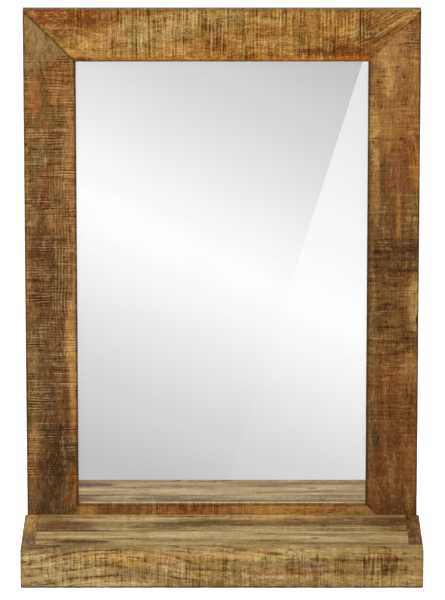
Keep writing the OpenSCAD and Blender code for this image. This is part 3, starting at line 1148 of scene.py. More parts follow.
    def _joint(self, s: np.ndarray, first: np.ndarray, last: np.ndarray) -> np.ndarray:
        """Works out the dark that gathers beside the board's joints.

        Args:
            s: Distance of each point along the grain.
            first: Where the board starts at each point of its section.
            last: Where it ends.

        Returns:
            1 at a dark joint, falling to 0 beside it.
        """
        start = self.look.dark_joints[0] * np.exp(-(((s - first) / self.joint_width) ** 2))
        end = self.look.dark_joints[1] * np.exp(-(((last - s) / self.joint_width) ** 2))
        return start + end

    def _mesh(self, grid: np.ndarray) -> bpy.types.Object:
        """Skins the rings and closes both ends.

        Args:
            grid: The points, ring by ring, in the board's own axes.

        Returns:
            The object, in its place in the scene.
        """
        rings, sides = grid.shape[:2]
        i, j = np.meshgrid(np.arange(rings - 1), np.arange(sides), indexing="ij")
        k = (j + 1) % sides
        quads = np.stack([i * sides + j, i * sides + k, (i + 1) * sides + k, (i + 1) * sides + j], 2)
        faces = quads.reshape(-1, 4).tolist()
        faces.append(list(range(sides))[::-1])
        faces.append([(rings - 1) * sides + n for n in range(sides)])
        mesh = bpy.data.meshes.new(self.name)
        mesh.from_pydata(grid.reshape(-1, 3).tolist(), [], faces)
        mesh.transform(self.placing.matrix())
        return finished(self.name, mesh)


def finished(name: str, mesh: bpy.types.Mesh) -> bpy.types.Object:
    """Turns a mesh's faces outward, smooths them up to their sharp edges and links it to the scene.

    Args:
        name: The piece's name.
        mesh: Its mesh.

    Returns:
        The object.
    """
    work = bmesh.new()
    work.from_mesh(mesh)
    bmesh.ops.recalc_face_normals(work, faces=work.faces)
    work.to_mesh(mesh)
    work.free()
    mesh.shade_smooth()
    mesh.set_sharp_from_angle(angle=SHARP_ANGLE)
    piece = bpy.data.objects.new(name, mesh)
    bpy.context.scene.collection.objects.link(piece)
    return piece


def lay_axes(piece: bpy.types.Object, placing: Placing) -> None:
    """Keeps the board's own axes on each of its points.

    Args:
        piece: The board.
        placing: Where its axes lie.
    """
    mesh = piece.data
    places = np.zeros(len(mesh.vertices) * 3)
    mesh.vertices.foreach_get("co", places)
    back = np.array(placing.matrix().inverted())
    own = places.reshape(-1, 3) @ back[:3, :3].T + back[:3, 3]
    layer = mesh.attributes.get("board") or mesh.attributes.new("board", "FLOAT_VECTOR", "POINT")
    layer.data.foreach_set("vector", own.astype(np.float32).ravel())


def prism(outline: list[Point], corner: Vector, depth: float) -> bpy.types.Object:
    """Makes a cutter: an outline in the wall plane, pushed from just behind it towards the front.

    Args:
        outline: Points to the right and up, in metres.
        corner: What they are measured from.
        depth: How far it reaches in front of the wall plane.

    Returns:
        The cutter.
    """
    work = bmesh.new()
    back = [work.verts.new((corner.x + x, CUTTER_PROUD, corner.z + z)) for x, z in outline]
    front = [work.verts.new((corner.x + x, -depth, corner.z + z)) for x, z in outline]
    work.faces.new(back)
    work.faces.new(front[::-1])
    for i in range(len(outline)):
        j = (i + 1) % len(outline)
        work.faces.new((back[j], back[i], front[i], front[j]))
    return cutter(work)


def countersink(centre: Vector, head: float, shank: float, depth: float) -> bpy.types.Object:
    """Makes a cutter for a screw's head, wide behind the wall plane and narrow at its foot.

    Args:
        centre: Where the screw enters, on the wall plane.
        head: The radius at the wall plane.
        shank: The radius at its foot.
        depth: How deep the shank's hole goes.

    Returns:
        The cutter.
    """
    work = bmesh.new()
    sides = 24
    rings = [(CUTTER_PROUD, head), (0.0, head), (-(head - shank), shank), (-depth, shank)]
    loops = []
    for y, radius in rings:
        turn = [2 * math.pi * k / sides for k in range(sides)]
        places = [(centre.x + radius * math.cos(v), y, centre.z + radius * math.sin(v)) for v in turn]
        loops.append([work.verts.new(p) for p in places])
    work.faces.new(loops[0])
    work.faces.new(loops[-1][::-1])
    for near, far in zip(loops, loops[1:]):
        for k in range(sides):
            m = (k + 1) % sides
            work.faces.new((near[m], near[k], far[k], far[m]))
    return cutter(work)


def cutter(work: bmesh.types.BMesh) -> bpy.types.Object:
    """Turns a closed bmesh into a hidden object that cuts others.

    Args:
        work: The shape, which is freed.

    Returns:
        The object.
    """
    bmesh.ops.recalc_face_normals(work, faces=work.faces)
    mesh = bpy.data.meshes.new("cutter")
    work.to_mesh(mesh)
    work.free()
    made = bpy.data.objects.new("cutter", mesh)
    bpy.context.scene.collection.objects.link(made)
    return made


class Shaping(Enum):
    """The ways that one shape changes another."""

    JOINED = "UNION"
    CUT = "DIFFERENCE"


def shaped(piece: bpy.types.Object, how: Shaping, other: bpy.types.Object) -> None:
    """Joins another shape to a piece's mesh, or cuts it out, and removes it.

    Args:
        piece: What is changed.
        how: Whether it is joined or cut.
        other: The other shape.
    """
    modifier = piece.modifiers.new("shaping", "BOOLEAN")
    modifier.operation, modifier.solver, modifier.object = how.value, "EXACT", other
    graph = bpy.context.evaluated_depsgraph_get()
    result = bpy.data.meshes.new_from_object(piece.evaluated_get(graph), depsgraph=graph)
    result.name = piece.name
    piece.modifiers.clear()
    piece.data = result
    bpy.data.objects.remove(other)


def cut(piece: bpy.types.Object, cutters: list[bpy.types.Object]) -> None:
    """Cuts shapes out of a piece and removes them.

    Args:
        piece: What is cut.
        cutters: The shapes, clear of each other.
    """
    if len(cutters) > 1:
        work = bmesh.new()
        for c in cutters:
            work.from_mesh(c.data)
        work.to_mesh(cutters[0].data)
        work.free()
    shaped(piece, Shaping.CUT, cutters[0])
    for c in cutters[1:]:
        bpy.data.objects.remove(c)


def wear_finish(piece: bpy.types.Object, material: bpy.types.Material) -> None:
    """Gives a piece one material."""
    piece.data.materials.clear()
    piece.data.materials.append(material)


def hand_in(piece: bpy.types.Object, material: bpy.types.Material, slot: str, *nodes: str) -> None:
    """Dresses a new piece, and says which CAD nodes it stands for.

    Args:
        piece: The piece.
        material: What it wears.
        slot: Not used.
        *nodes: The nodes that it replaces.
    """
    wear_finish(piece, material)
    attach(piece, BODY)
    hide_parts(*nodes)
    log.info("%s: %d faces, for %s", piece.name, len(piece.data.polygons), ", ".join(nodes))


def dress(node: str, material: bpy.types.Material) -> None:
    """Dresses a CAD node whose shape is kept."""
    wear_finish(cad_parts[node], material)
    log.info("%s: kept, in %s", node, material.name)


def square(name: str, half: float, material: bpy.types.Material) -> bpy.types.Object:
    """Makes a flat square about the origin, to stand round the mirror.

    Args:
        name: Its name.
        half: Half its side, in metres.
        material: What it wears.

    Returns:
        The object.
    """
    corners = [(-half, -half, 0.0), (half, -half, 0.0), (half, half, 0.0), (-half, half, 0.0)]
    mesh = bpy.data.meshes.new(name)
    mesh.from_pydata(corners, [], [(0, 1, 2, 3)])
    mesh.materials.append(material)
    made = bpy.data.objects.new(name, mesh)
    bpy.context.scene.collection.objects.link(made)
    return made


def measured(node: str) -> tuple[Vector, Vector, list[float]]:
    """Gives a node's lowest and highest corners, and its size in millimetres."""
    low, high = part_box(node)
    return low, high, [(high[i] - low[i]) / MM for i in range(3)]


class Side(Enum):
    """The two sides of the mirror, as a person faces it."""

    LEFT = -1
    RIGHT = 1


@dataclass
class MitredFrame:
    """The four members of the frame, sawn, mitred and rebated."""

    edge_radius: float = 2.0
    lip: float = 8.0
    glass_rebate: float = 8.0
    glass: float = 4.0
    backing_rebate: float = 18.0
    plate_gap: float = 0.0001
    pocket_margin: float = 0.0015
    entry_radius: float = 0.005
    plate_corner: float = 0.003
    slot_end: float = 0.0145
    pocket_depth: float = 0.011
    ledge_screw: tuple[float, float, float] = (0.0041, 0.0021, 0.012)

    def __post_init__(self) -> None:
        """Reads the frame's size from the CAD."""
        self.top, self.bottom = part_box("top_rail"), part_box("bottom_rail")
        self.left, self.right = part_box("left_stile"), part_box("right_stile")
        self.width = (self.right[1].x - self.left[0].x) / MM
        self.height = (self.top[1].z - self.bottom[0].z) / MM
        self.member = (self.top[1].z - self.top[0].z) / MM
        self.thickness = (self.top[1].y - self.top[0].y) / MM

    def section(self) -> Section:
        """Draws a member's section, from its outer back corner round its face to the rebates."""
        w, t, r = self.member, self.thickness, self.edge_radius
        step_in, glass_back = w - self.glass_rebate, self.lip + self.glass
        board_in = w - self.backing_rebate
        return (
            Section.face((w, t), (r, r), (5, 5), (2.5, 1.35), Skin.SIDE)
            .run((w, self.lip), 1.8, Skin.SIDE)
            .run((step_in, self.lip), 8.0, Skin.HIDDEN)
            .run((step_in, glass_back), 4.0, Skin.HIDDEN)
            .run((board_in, glass_back), 10.0, Skin.HIDDEN)
            .run((board_in, t), 4.0, Skin.HIDDEN)
            .run((0.0, t), 6.0, Skin.PLANED)
        )

    def build(self) -> None:
        """Makes and dresses the four members."""
        x0, z0 = self.left[0].x, self.bottom[0].z
        x1, z1 = self.right[1].x, self.top[1].z
        y = self.top[0].y
        places = {
            "top_rail": Placing(Vector((x0, y, z1)), RIGHTWARD, -UPWARD, INWARD),
            "bottom_rail": Placing(Vector((x0, y, z0)), RIGHTWARD, UPWARD, INWARD),
            "left_stile": Placing(Vector((x0, y, z1)), -UPWARD, RIGHTWARD, INWARD),
            "right_stile": Placing(Vector((x1, y, z1)), -UPWARD, -RIGHTWARD, INWARD),
        }
        for node, placing in places.items():
            look = MEMBER_LOOKS[node]
            length = self.width if "rail" in node else self.height
            piece = Board("sawn_" + node, length, self.section(), placing, look, mitred=True).build()
            cutters = self.cutters(node)
            if cutters:
                cut(piece, cutters)
                lay_axes(piece, placing)
            hand_in(piece, look.timber.material(node + "_timber"), "frame_timber", node)

    def cutters(self, node: str) -> list[bpy.types.Object]:
        """Makes the shapes that are let into the back of one member.

        Args:
            node: The member.

        Returns:
            The cutters.
        """
        if node == "top_rail":
            return [c for side in Side for c in self.hanger_cutters(side)]
        screws = ledge_screw_centres()
        if node == "bottom_rail":
            mine = screws[1:-1]
        else:
            mine = screws[:1] if node == "left_stile" else screws[-1:]
        head, shank, depth = self.ledge_screw
        return [countersink(p, head, shank, depth) for p in mine]

    def hanger_cutters(self, side: Side) -> list[bpy.types.Object]:
        """Makes the recess for one keyhole plate, with the pocket under it joined to it.

        Args:
            side: Which hanger.

        Returns:
            The cutters, clear of each other.
        """
        low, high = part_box("left_hanger_plate" if side is Side.LEFT else "right_hanger_plate")
        middle = (low + high) / 2
        w, h = (high.x - low.x) / 2 + self.plate_gap, (high.z - low.z) / 2 + self.plate_gap
        outline = rounded_rectangle(w, h, self.plate_corner)
        recess = prism(outline, Vector((middle.x, 0, middle.z)), high.y - low.y + self.plate_gap)
        r = self.entry_radius + self.pocket_margin
        rise = self.slot_end + self.pocket_margin - r
        pocket = prism(stadium(r, rise), Vector((middle.x, 0, 0)), self.pocket_depth)
        shaped(recess, Shaping.JOINED, pocket)
        return [recess]


def rounded_rectangle(half_w: float, half_h: float, radius: float) -> list[Point]:
    """Gives a rectangle with round corners about its middle.

    Args:
        half_w: Half its width.
        half_h: Half its height.
        radius: The corners' radius.

    Returns:
        Its points, anticlockwise.
    """
    points, steps = [], 6
    for corner, (sx, sz) in enumerate([(1, -1), (1, 1), (-1, 1), (-1, -1)]):
        for k in range(steps + 1):
            turn = math.radians(-90 + corner * 90 + k * 90 / steps)
            points.append((
                sx * (half_w - radius) + radius * math.cos(turn),
                sz * (half_h - radius) + radius * math.sin(turn),
            ))
    return points


def stadium(radius: float, rise: float) -> list[Point]:
    """Gives an upright slot with round ends, its lower end about the origin.

    Args:
        radius: Half its width.
        rise: Height of its upper end's middle.

    Returns:
        Its points, anticlockwise.
    """
    steps = 16
    low = [math.radians(180 + 180 * k / steps) for k in range(steps + 1)]
    high = [math.radians(180 * k / steps) for k in range(steps + 1)]
    lower = [(radius * math.cos(v), radius * math.sin(v)) for v in low]
    return lower + [(radius * math.cos(v), rise + radius * math.sin(v)) for v in high]


def ledge_screw_centres() -> list[Vector]:
    """Finds where each of the ledge's screws enters the back of the frame, from left to right."""
    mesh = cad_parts["ledge_screws"].data
    places = np.array([v.co for v in mesh.vertices])
    near_wall, apart = 0.0005, 0.01
    heads = places[places[:, 1] > -near_wall]
    heads = heads[np.argsort(heads[:, 0])]
    centres = []
    for head in np.split(heads, np.where(np.diff(heads[:, 0]) > apart)[0] + 1):
        x, z = head[:, 0], head[:, 2]
        centres.append(Vector(((x.min() + x.max()) / 2, 0, (z.min() + z.max()) / 2)))
    return centres


@dataclass(frozen=True)
class BoardLook:
    """How one board looks: its timber, its saw marks, its knots and its joints."""

    timber: SawnTimber
    sawing: Sawing
    marks: tuple[Mark, ...] = ()
    dark_joints: tuple[float, float] = (0.0, 0.0)
    # How strongly painted shade darkens the outer and the inner half, along rounded edges and over sides,
    # with some real grime at the edges
    dark_edges: tuple[float, float] = (1.0, 1.0)
    # How much painted shade darkens the back of the outer side
    dark_back: float = 0.0


TOP_TONES = Tones(middle=(146, 109, 54), warm=(140, 90, 37), cool=(141, 119, 64), pale=(204, 171, 112))
LEFT_TONES = Tones(middle=(113, 82, 44), warm=(124, 77, 38), cool=(107, 86, 49), pale=(188, 157, 110))
RIGHT_TONES = Tones(middle=(118, 80, 42), warm=(122, 72, 34), cool=(114, 88, 48), pale=(176, 140, 88))
LOWER_TONES = Tones(middle=(124, 88, 48), warm=(134, 86, 43), cool=(112, 83, 47), pale=(180, 142, 90))
FRONT_TONES = Tones(middle=(148, 125, 79), warm=(151, 113, 65), cool=(141, 128, 85), pale=(206, 186, 138))
SIDE_TONES = Tones(middle=(152, 116, 58), warm=(164, 112, 46), cool=(138, 114, 70), pale=(200, 162, 92))
REAR_TONES = Tones(middle=(150, 128, 82), warm=(142, 112, 68), cool=(150, 134, 88), pale=(192, 174, 122))
PLANK_TONES = Tones(middle=(154, 134, 86), warm=(146, 116, 72), cool=(154, 146, 96), pale=(198, 184, 134))

# Many tones below were chosen from the photograph's mean colours, read in a grid of cells 20 mm long
TOP_STAINS = (
    Stain((44, 6), (70, 26), (124, 68, 28), 0.95),
    Stain((104, 22), (16, 16), (140, 86, 38), 0.8),
    Stain((48, 26), (14, 12), (114, 66, 28), 0.75),
    Stain((84, 52), (44, 13), (165, 124, 67), 0.85),
    Stain((92, 41), (30, 9), (182, 140, 84)),
    Stain((150, 36), (54, 26), (158, 126, 76)),
    Stain((138, 25), (22, 9), (130, 96, 52), 0.75),
    Stain((150, 56), (44, 8), (152, 120, 58), 0.6),
    Stain((186, 50), (16, 12), (168, 114, 54)),
    Stain((184, 20), (32, 18), (164, 131, 84)),
    Stain((70, 58), (12, 6), (144, 100, 50), 0.6),
    Stain((222, 42), (18, 14), (144, 96, 44), 0.8),
    Stain((240, 12), (46, 16), (164, 132, 80)),
    Stain((250, 56), (14, 8), (168, 118, 54), 0.6),
    Stain((278, 40), (24, 20), (158, 112, 55), 0.6),
    Stain((325, 30), (60, 32), (150, 105, 50)),
    Stain((292, 25), (12, 10), (142, 98, 44), 0.6),
    Stain((316, 25), (26, 9), (136, 90, 40), 0.65),
    Stain((90, 48), (12, 12), (156, 110, 56), 0.55),
    Stain((290, 56), (12, 6), (174, 120, 52), 0.8),
    Stain((322, 9), (34, 10), (170, 127, 72), 0.8),
    Stain((425, 34), (46, 36), (128, 78, 34), 0.9),
    Stain((390, 22), (34, 12), (170, 120, 58), 0.8),
    Stain((440, 26), (26, 14), (94, 58, 20), 0.85),
    Stain((392, 54), (48, 8), (118, 68, 24), 0.8, 0.4),
    Stain((474, 22), (28, 14), (142, 94, 40), 0.8),
    Stain((260, 65), (230, 6), (168, 107, 43), 0.95, 0.3),
    Stain((72, 64), (18, 4), (116, 60, 24), 0.9, 0.3),
    Stain((412, 63), (40, 6), (158, 88, 30), 0.95, 0.3),
    # The last stain is painted light: it gives the back of the top face the olive that this face shows in its
    # light, with little blue to offset the sheen on it
    Stain((250, -0.6), (900, 1.3), (138, 122, 44), 0.95, 0.1, (17.0, 8.0)),
)
TOP_PATCHES = (
    SawPatch((129, 48), (1.2, 40), 2.2, 0.7),
    SawPatch((138.5, 34), (1.2, 70), 2.2, 1.0),
    SawPatch((157, 34), (2.2, 66), 2.2, 1.2),
    SawPatch((166, 14), (3.0, 26), 2.6, 0.9),
    SawPatch((177.5, 34), (1.2, 70), 2.4, 0.9),
    SawPatch((192, 36), (1.2, 60), 2.4, 0.8),
    SawPatch((204, 28), (1.4, 50), 2.4, 0.7),
    SawPatch((180, 8), (20, 10), 3.4, 0.6),
    SawPatch((227, 28), (6, 44), 2.6, 0.9),
    SawPatch((245, 34), (8, 24), 2.2, 1.0),
    SawPatch((271, 28), (4.5, 32), 2.2, 1.2),
    SawPatch((254, 34), (0.8, 70), 2.0, -1.0),
    SawPatch((160, 34), (0.8, 60), 2.0, -0.8),
    SawPatch((235, 34), (0.8, 60), 2.0, -0.8),
    SawPatch((310, 30), (2.0, 50), 2.6, 0.7),
    SawPatch((334, 30), (1.2, 60), 2.4, -0.8),
    SawPatch((350, 28), (5, 30), 2.4, 1.1),
    SawPatch((369, 30), (2.0, 50), 2.4, 0.9),
    SawPatch((391, 30), (3.0, 60), 2.6, 0.7),
    SawPatch((424, 34), (1.6, 60), 2.4, 0.7),
)
LOWER_STAINS = (
    Stain((54, 56), (16, 16), (104, 68, 36), 0.95, 0.3),
    Stain((76, 58), (12, 16), (146, 114, 62), 0.85),
    Stain((112, 58), (22, 16), (104, 72, 38), 0.6),
    Stain((225, 58), (75, 16), (128, 84, 43)),
    Stain((345, 58), (80, 16), (156, 115, 61), 0.85),
    Stain((425, 58), (20, 16), (140, 112, 60)),
    # The last three stains paint the lip's inner face: a tan band over it, then a painted shadow line and a
    # painted highlight line along it, so that the face looks shallow
    Stain((250, 66.5), (300, 1.6), (150, 122, 76), 0.9, 0.1),
    Stain((250, 66), (300, 3), (88, 64, 34), 0.85, 0.1, (5.2, 0.9)),
    Stain((250, 66), (300, 3), (206, 190, 150), 0.9, 0.1, (7.8, 1.5)),
)
LEFT_STAINS = (
    Stain((300, 28), (90, 28), (98, 64, 35), 0.85),
    Stain((218, 30), (26, 22), (126, 80, 40), 0.6),
    Stain((450, 30), (110, 34), (102, 72, 40), 0.9),
    Stain((34, 26), (44, 28), (141, 113, 71), 0.9, 0.5),
    Stain((112, 14), (30, 10), (150, 92, 40), 0.75),
    Stain((92, 44), (40, 18), (146, 98, 52)),
    Stain((220, 2), (200, 4), (144, 110, 58), 0.6),
    Stain((300, 63), (180, 3), (150, 112, 62), 0.7, 0.35),
    Stain((165, 58), (110, 9), (152, 110, 62), 0.7, 0.4),
    Stain((90, 10), (34, 8), (146, 108, 70), 0.6, 0.5),
    Stain((268, 42), (22, 14), (144, 104, 58), 0.8),
    Stain((268, 10), (14, 10), (142, 106, 64), 0.6),
    Stain((158, 28), (28, 24), (116, 78, 39), 0.6),
    Stain((310, 25), (14, 10), (82, 52, 28)),
    Stain((450, 56), (11, 6), (134, 96, 54)),
    Stain((390, 56), (10, 6), (120, 90, 50), 0.6),
    Stain((370, 34), (56, 22), (102, 69, 38), 0.5),
    Stain((310, 56), (18, 8), (108, 73, 38)),
    Stain((430, 58), (60, 9), (172, 130, 77), 0.8, 0.4),
    Stain((500, 61), (60, 6), (166, 120, 68), 0.8, 0.4),
    Stain((458, 9), (34, 9), (134, 102, 66), 0.7, 0.5),
    Stain((505, 26), (36, 14), (92, 68, 41), 0.8, 0.5),
    Stain((585, 38), (60, 26), (77, 54, 33), 0.95),
    Stain((562, 11), (26, 8), (148, 110, 67), 0.85),
    Stain((570, 26), (14, 8), (112, 80, 47), 0.6),
    Stain((636, 30), (36, 36), (94, 71, 42), 0.9),
    Stain((622, 11), (26, 9), (122, 86, 50), 0.8, 0.5),
    Stain((606, 56), (14, 8), (126, 88, 46), 0.7, 0.5),
    Stain((622, 62), (28, 5), (148, 92, 42), 0.85),
    Stain((640, 52), (12, 9), (140, 84, 36), 0.6),
)
LEFT_PATCHES = (
    SawPatch((225, 44), (60, 40), 6.0, 0.4),
    SawPatch((98, 34), (34, 40), 4.5, 0.5),
)
RIGHT_STAINS = (
    Stain((40, 36), (46, 34), (160, 114, 68), 0.85),
    Stain((78, 10), (26, 8), (160, 112, 57), 0.5, 0.5),
    Stain((90, 57), (12, 8), (158, 114, 63), 0.7, 0.5),
    Stain((130, 34), (50, 34), (148, 102, 54), 0.75),
    Stain((110, 32), (10, 22), (126, 82, 42), 0.75, 0.5),
    Stain((160, 41), (24, 8), (160, 115, 63), 0.6, 0.5),
    Stain((262, 30), (52, 46), (105, 70, 36), 0.88),
    Stain((322, 36), (36, 50), (98, 63, 34), 0.85),
    Stain((392, 40), (42, 40), (114, 78, 42), 0.85),
    Stain((480, 38), (44, 46), (118, 77, 39), 0.85),
    Stain((590, 34), (112, 60), (110, 66, 31), 0.9, 0.4),
    Stain((86, 40), (22, 8), (176, 132, 76), 0.65, 0.9),
    Stain((150, 60), (36, 8), (172, 130, 70), 0.7, 0.4),
    Stain((220, 57), (52, 8), (154, 110, 63), 0.75, 0.4),
    Stain((190, 48), (58, 4), (114, 76, 38), 0.5, 0.5),
    Stain((212, 26), (36, 18), (114, 70, 38)),
    Stain((205, 4), (26, 7), (160, 106, 46), 0.75, 0.4),
    Stain((264, 7), (30, 9), (120, 94, 50), 0.7, 0.5),
    Stain((288, 24), (18, 30), (110, 74, 40), 0.5),
    Stain((272, 50), (16, 14), (98, 66, 36), 0.75),
    Stain((188, 57), (15, 7), (172, 128, 76), 0.75),
    Stain((558, 9), (20, 8), (96, 58, 27), 0.65),
    Stain((262, 27), (40, 3), (156, 110, 58), 0.6, 0.5),
    Stain((297, 30), (2.4, 70), (84, 56, 33), 0.6, 0.3),
    Stain((308, 20), (5, 50), (80, 52, 32), 0.75, 0.4),
    Stain((321, 40), (2.6, 60), (86, 56, 33), 0.6, 0.3),
    Stain((336, 26), (4, 30), (78, 50, 30), 0.75, 0.4),
    Stain((378, 4), (36, 10), (160, 127, 74), 0.85, 0.7),
    Stain((370, 26), (14, 8), (106, 70, 37), 0.6),
    Stain((390, 40), (12, 12), (124, 88, 50), 0.5),
    Stain((434, 26), (14, 22), (96, 61, 31)),
    Stain((470, 9), (30, 9), (144, 102, 58), 0.8),
    Stain((535, 30), (14, 18), (120, 80, 40), 0.5),
    Stain((420, 58), (60, 8), (116, 88, 50), 0.6),
    Stain((540, 61), (46, 5), (104, 82, 48), 0.7, 0.7),
    Stain((560, 54), (14, 5), (62, 44, 28), 0.85, 0.9),
    Stain((588, 60), (10, 4), (74, 50, 30), 0.7, 0.8),
    Stain((605, 8), (54, 9), (132, 88, 45), 0.85, 0.4),
    Stain((600, 60), (50, 6), (116, 84, 44), 0.6),
    Stain((632, 57), (34, 8), (142, 94, 48), 0.6),
)
RIGHT_PATCHES = (
    SawPatch((140, 30), (3, 60), 3.0, 0.8),
    SawPatch((308, 34), (12, 70), 3.4, 0.8),
    SawPatch((440, 30), (16, 40), 4.0, 0.6),
    SawPatch((516, 26), (22, 60), 4.2, 0.7),
    SawPatch((548, 30), (26, 60), 3.6, -0.5),
    SawPatch((566, 26), (20, 50), 4.6, 0.5),
)
FRONT_STAINS = (
    Stain((50, 34), (64, 26), (162, 140, 94)),
    Stain((50, 6), (24, 8), (142, 112, 72), 0.6),
    Stain((139, 15), (34, 9), (174, 134, 68), 0.8),
    Stain((152, 33), (24, 6), (128, 96, 52), 0.6),
    Stain((112, 8), (60, 8), (186, 155, 98), 0.8, 0.5),
    Stain((80, 21), (22, 7), (184, 156, 104), 0.8),
    Stain((100, 45), (90, 8), (174, 153, 108), 0.75, 0.5),
    Stain((120, 33), (20, 6), (160, 134, 88)),
    Stain((232, 33), (30, 6), (166, 138, 84), 0.65),
    Stain((288, 33), (34, 8), (126, 94, 52)),
    Stain((300, 8), (110, 9), (190, 158, 102), 0.75, 0.5),
    Stain((464, 8), (30, 8), (176, 144, 94), 0.8, 0.5),
    Stain((268, 45), (74, 7), (112, 85, 48), 0.8),
    Stain((365, 46), (46, 6), (116, 88, 52), 0.8),
    Stain((252, 20), (15, 7), (188, 158, 98), 0.85),
    Stain((215, 45), (22, 7), (158, 130, 84)),
    Stain((455, 16), (8, 9), (164, 130, 80), 0.75),
    Stain((14, 10), (14, 9), (180, 160, 112), 0.8),
    Stain((488, 45), (28, 8), (122, 92, 52), 0.75, 0.5),
    Stain((194, 33), (18, 6), (128, 94, 46), 0.6),
    Stain((110, 34), (60, 10), (152, 120, 76), 0.5),
    Stain((302, 3), (20, 3), (150, 98, 48), 0.8, 0.5),
    Stain((318, 6), (12, 2.4), (104, 70, 34), 0.8, 0.5),
    Stain((190, 12), (26, 8), (160, 112, 62), 0.6),
    Stain((371, 34), (5, 22), (116, 80, 46), 0.8, 0.2),
    Stain((371, 22.6), (19, 4.4), (112, 92, 72), 1.0, 0.12),
    Stain((440, 22), (66, 28), (136, 101, 53)),
    Stain((432, 18), (2.6, 10), (98, 62, 32), 0.8, 0.7),
    Stain((443, 22), (1.8, 14), (108, 70, 36), 0.65, 0.7),
    Stain((457, 27), (4.2, 9), (92, 60, 32), 0.85, 0.7),
    Stain((470.6, 18), (3.2, 12), (94, 60, 32), 0.85, 0.7),
    Stain((484, 26), (2, 8), (104, 70, 38), 0.6, 0.7),
    Stain((342, 26), (12, 9), (112, 76, 38), 0.6, 0.9),
    Stain((240, 24), (44, 14), (136, 104, 55), 0.65),
    Stain((230, 47), (90, 6), (128, 94, 50), 0.5),
    Stain((445, 39), (56, 4), (164, 141, 78), 0.7, 0.4),
    Stain((345, 0), (185, 5), (196, 167, 112), 0.55, 0.5),
    Stain((341, 2.5), (26, 3.5), (204, 174, 120), 0.6),
    Stain((210, 2), (34, 5), (194, 166, 114), 0.5),
    Stain((278, 2.4), (11, 1.8), (100, 74, 38), 0.7),
    Stain((38, 3.2), (44, 4.5), (116, 92, 58), 0.7),
)
FRONT_PATCHES = (
    SawPatch((345, 26), (11, 20), 2.6, 0.8),
    SawPatch((371, 12), (1.5, 16), 2.0, 1.0),
    SawPatch((400, 22), (8, 22), 2.6, 0.8),
    SawPatch((436, 18), (10, 22), 3.4, 0.8),
    SawPatch((462, 22), (12, 22), 3.4, 0.8),
    SawPatch((60, 12), (30, 14), 3.6, 0.45),
    SawPatch((95, 24), (30, 34), 3.6, 0.4),
    SawPatch((150, 26), (30, 24), 3.0, 0.35),
    SawPatch((232, 30), (26, 28), 3.6, 0.6),
    SawPatch((110, 26), (80, 34), 5.0, -0.25),
)
LEFT_SIDE_STAINS = (
    Stain((34, 0), (44, 60), (188, 148, 92), 0.6, 0.4),
    Stain((112, 0), (34, 60), (138, 113, 81), 0.85, 0.4),
)
RIGHT_SIDE_STAINS = (
    Stain((66, 10), (160, 90), (112, 77, 40), 0.95, 0.3),
    Stain((116, 0), (44, 60), (100, 68, 34), 0.8, 0.4),
)
REAR_STAINS = (
    Stain((110, 14), (80, 18), (192, 170, 122), 0.95, 0.5),
    Stain((200, 9), (36, 10), (186, 163, 116), 0.9, 0.5),
    Stain((268, 12), (58, 14), (190, 166, 116), 0.95, 0.5),
    Stain((350, 11), (22, 10), (178, 152, 102), 0.8),
    Stain((105, 38), (40, 12), (162, 138, 94), 0.8),
    Stain((280, 62), (110, 11), (136, 122, 84), 0.8, 0.5),
    Stain((146, 60), (34, 12), (112, 94, 64), 0.85, 0.7),
    Stain((395, 63), (44, 11), (116, 96, 60), 0.9),
    Stain((90, 62), (30, 9), (150, 136, 100), 0.8, 0.5),
    Stain((34, 54), (42, 28), (112, 82, 53), 0.9, 0.7),
    Stain((28, 69), (52, 10), (102, 74, 48), 0.9, 0.4),
    Stain((140, 52), (20, 9), (112, 92, 60), 0.85, 0.9),
    Stain((170, 44), (28, 9), (108, 86, 54), 0.9, 0.9),
    Stain((200, 42), (34, 14), (104, 82, 52), 0.95, 0.8),
    Stain((240, 33), (38, 11), (106, 83, 52), 0.95, 0.9),
    Stain((292, 38), (50, 11), (124, 97, 60), 0.9, 0.9),
    Stain((350, 37), (50, 11), (112, 86, 52), 0.9, 0.9),
    Stain((405, 29), (54, 17), (106, 81, 46), 0.9, 0.8),
    Stain((452, 44), (32, 36), (100, 72, 38), 0.95, 0.5),
    Stain((436, 25), (40, 11), (86, 58, 28), 0.85),
    Stain((462, 62), (22, 18), (98, 70, 38), 0.9, 0.4),
    Stain((166, 57), (22, 8), (102, 82, 54), 0.8),
    Stain((392, 55), (58, 6), (122, 101, 63), 0.8),
    # The last stain is a painted highlight: a pale line along the rear edge
    Stain((220, 2), (190, 5), (176, 154, 102), 0.7, 0.3),
)
PLANK_STAINS = (
    Stain((14, 22), (30, 20), (164, 138, 92), 0.8, 0.5),
    Stain((60, 24), (40, 12), (170, 146, 100), 0.7, 0.5),
    Stain((48, 54), (52, 10), (124, 95, 60), 0.85),
    Stain((58, 45), (38, 8), (98, 70, 44), 0.9, 0.8),
    Stain((30, 48), (5, 3), (66, 44, 30), 0.8, 0.5),
    Stain((82, 44), (9, 5), (70, 48, 30), 0.9, 0.7),
    Stain((121, 33), (3, 6), (96, 64, 38), 0.7, 0.5),
    Stain((190, 36), (46, 8), (174, 154, 106), 0.7, 0.5),
    Stain((205, 14), (84, 15), (170, 156, 112), 0.85),
    Stain((195, 42), (90, 14), (160, 139, 96), 0.7),
    Stain((300, 51), (62, 7), (126, 100, 60), 0.75, 0.8),
    Stain((320, 12), (56, 14), (158, 139, 92), 0.6, 0.5),
    Stain((385, 14), (60, 15), (136, 116, 80), 0.7, 0.5),
    Stain((396, 38), (72, 9), (158, 134, 88), 0.6, 0.5),
    Stain((402, 53), (76, 8), (118, 94, 60), 0.8),
    Stain((352, 26), (38, 6), (178, 162, 120), 0.8, 0.8),
    Stain((352, 29), (7, 4), (78, 66, 42), 0.9, 0.5),
    Stain((250, 3), (260, 4), (182, 168, 116), 0.5, 0.3),
)

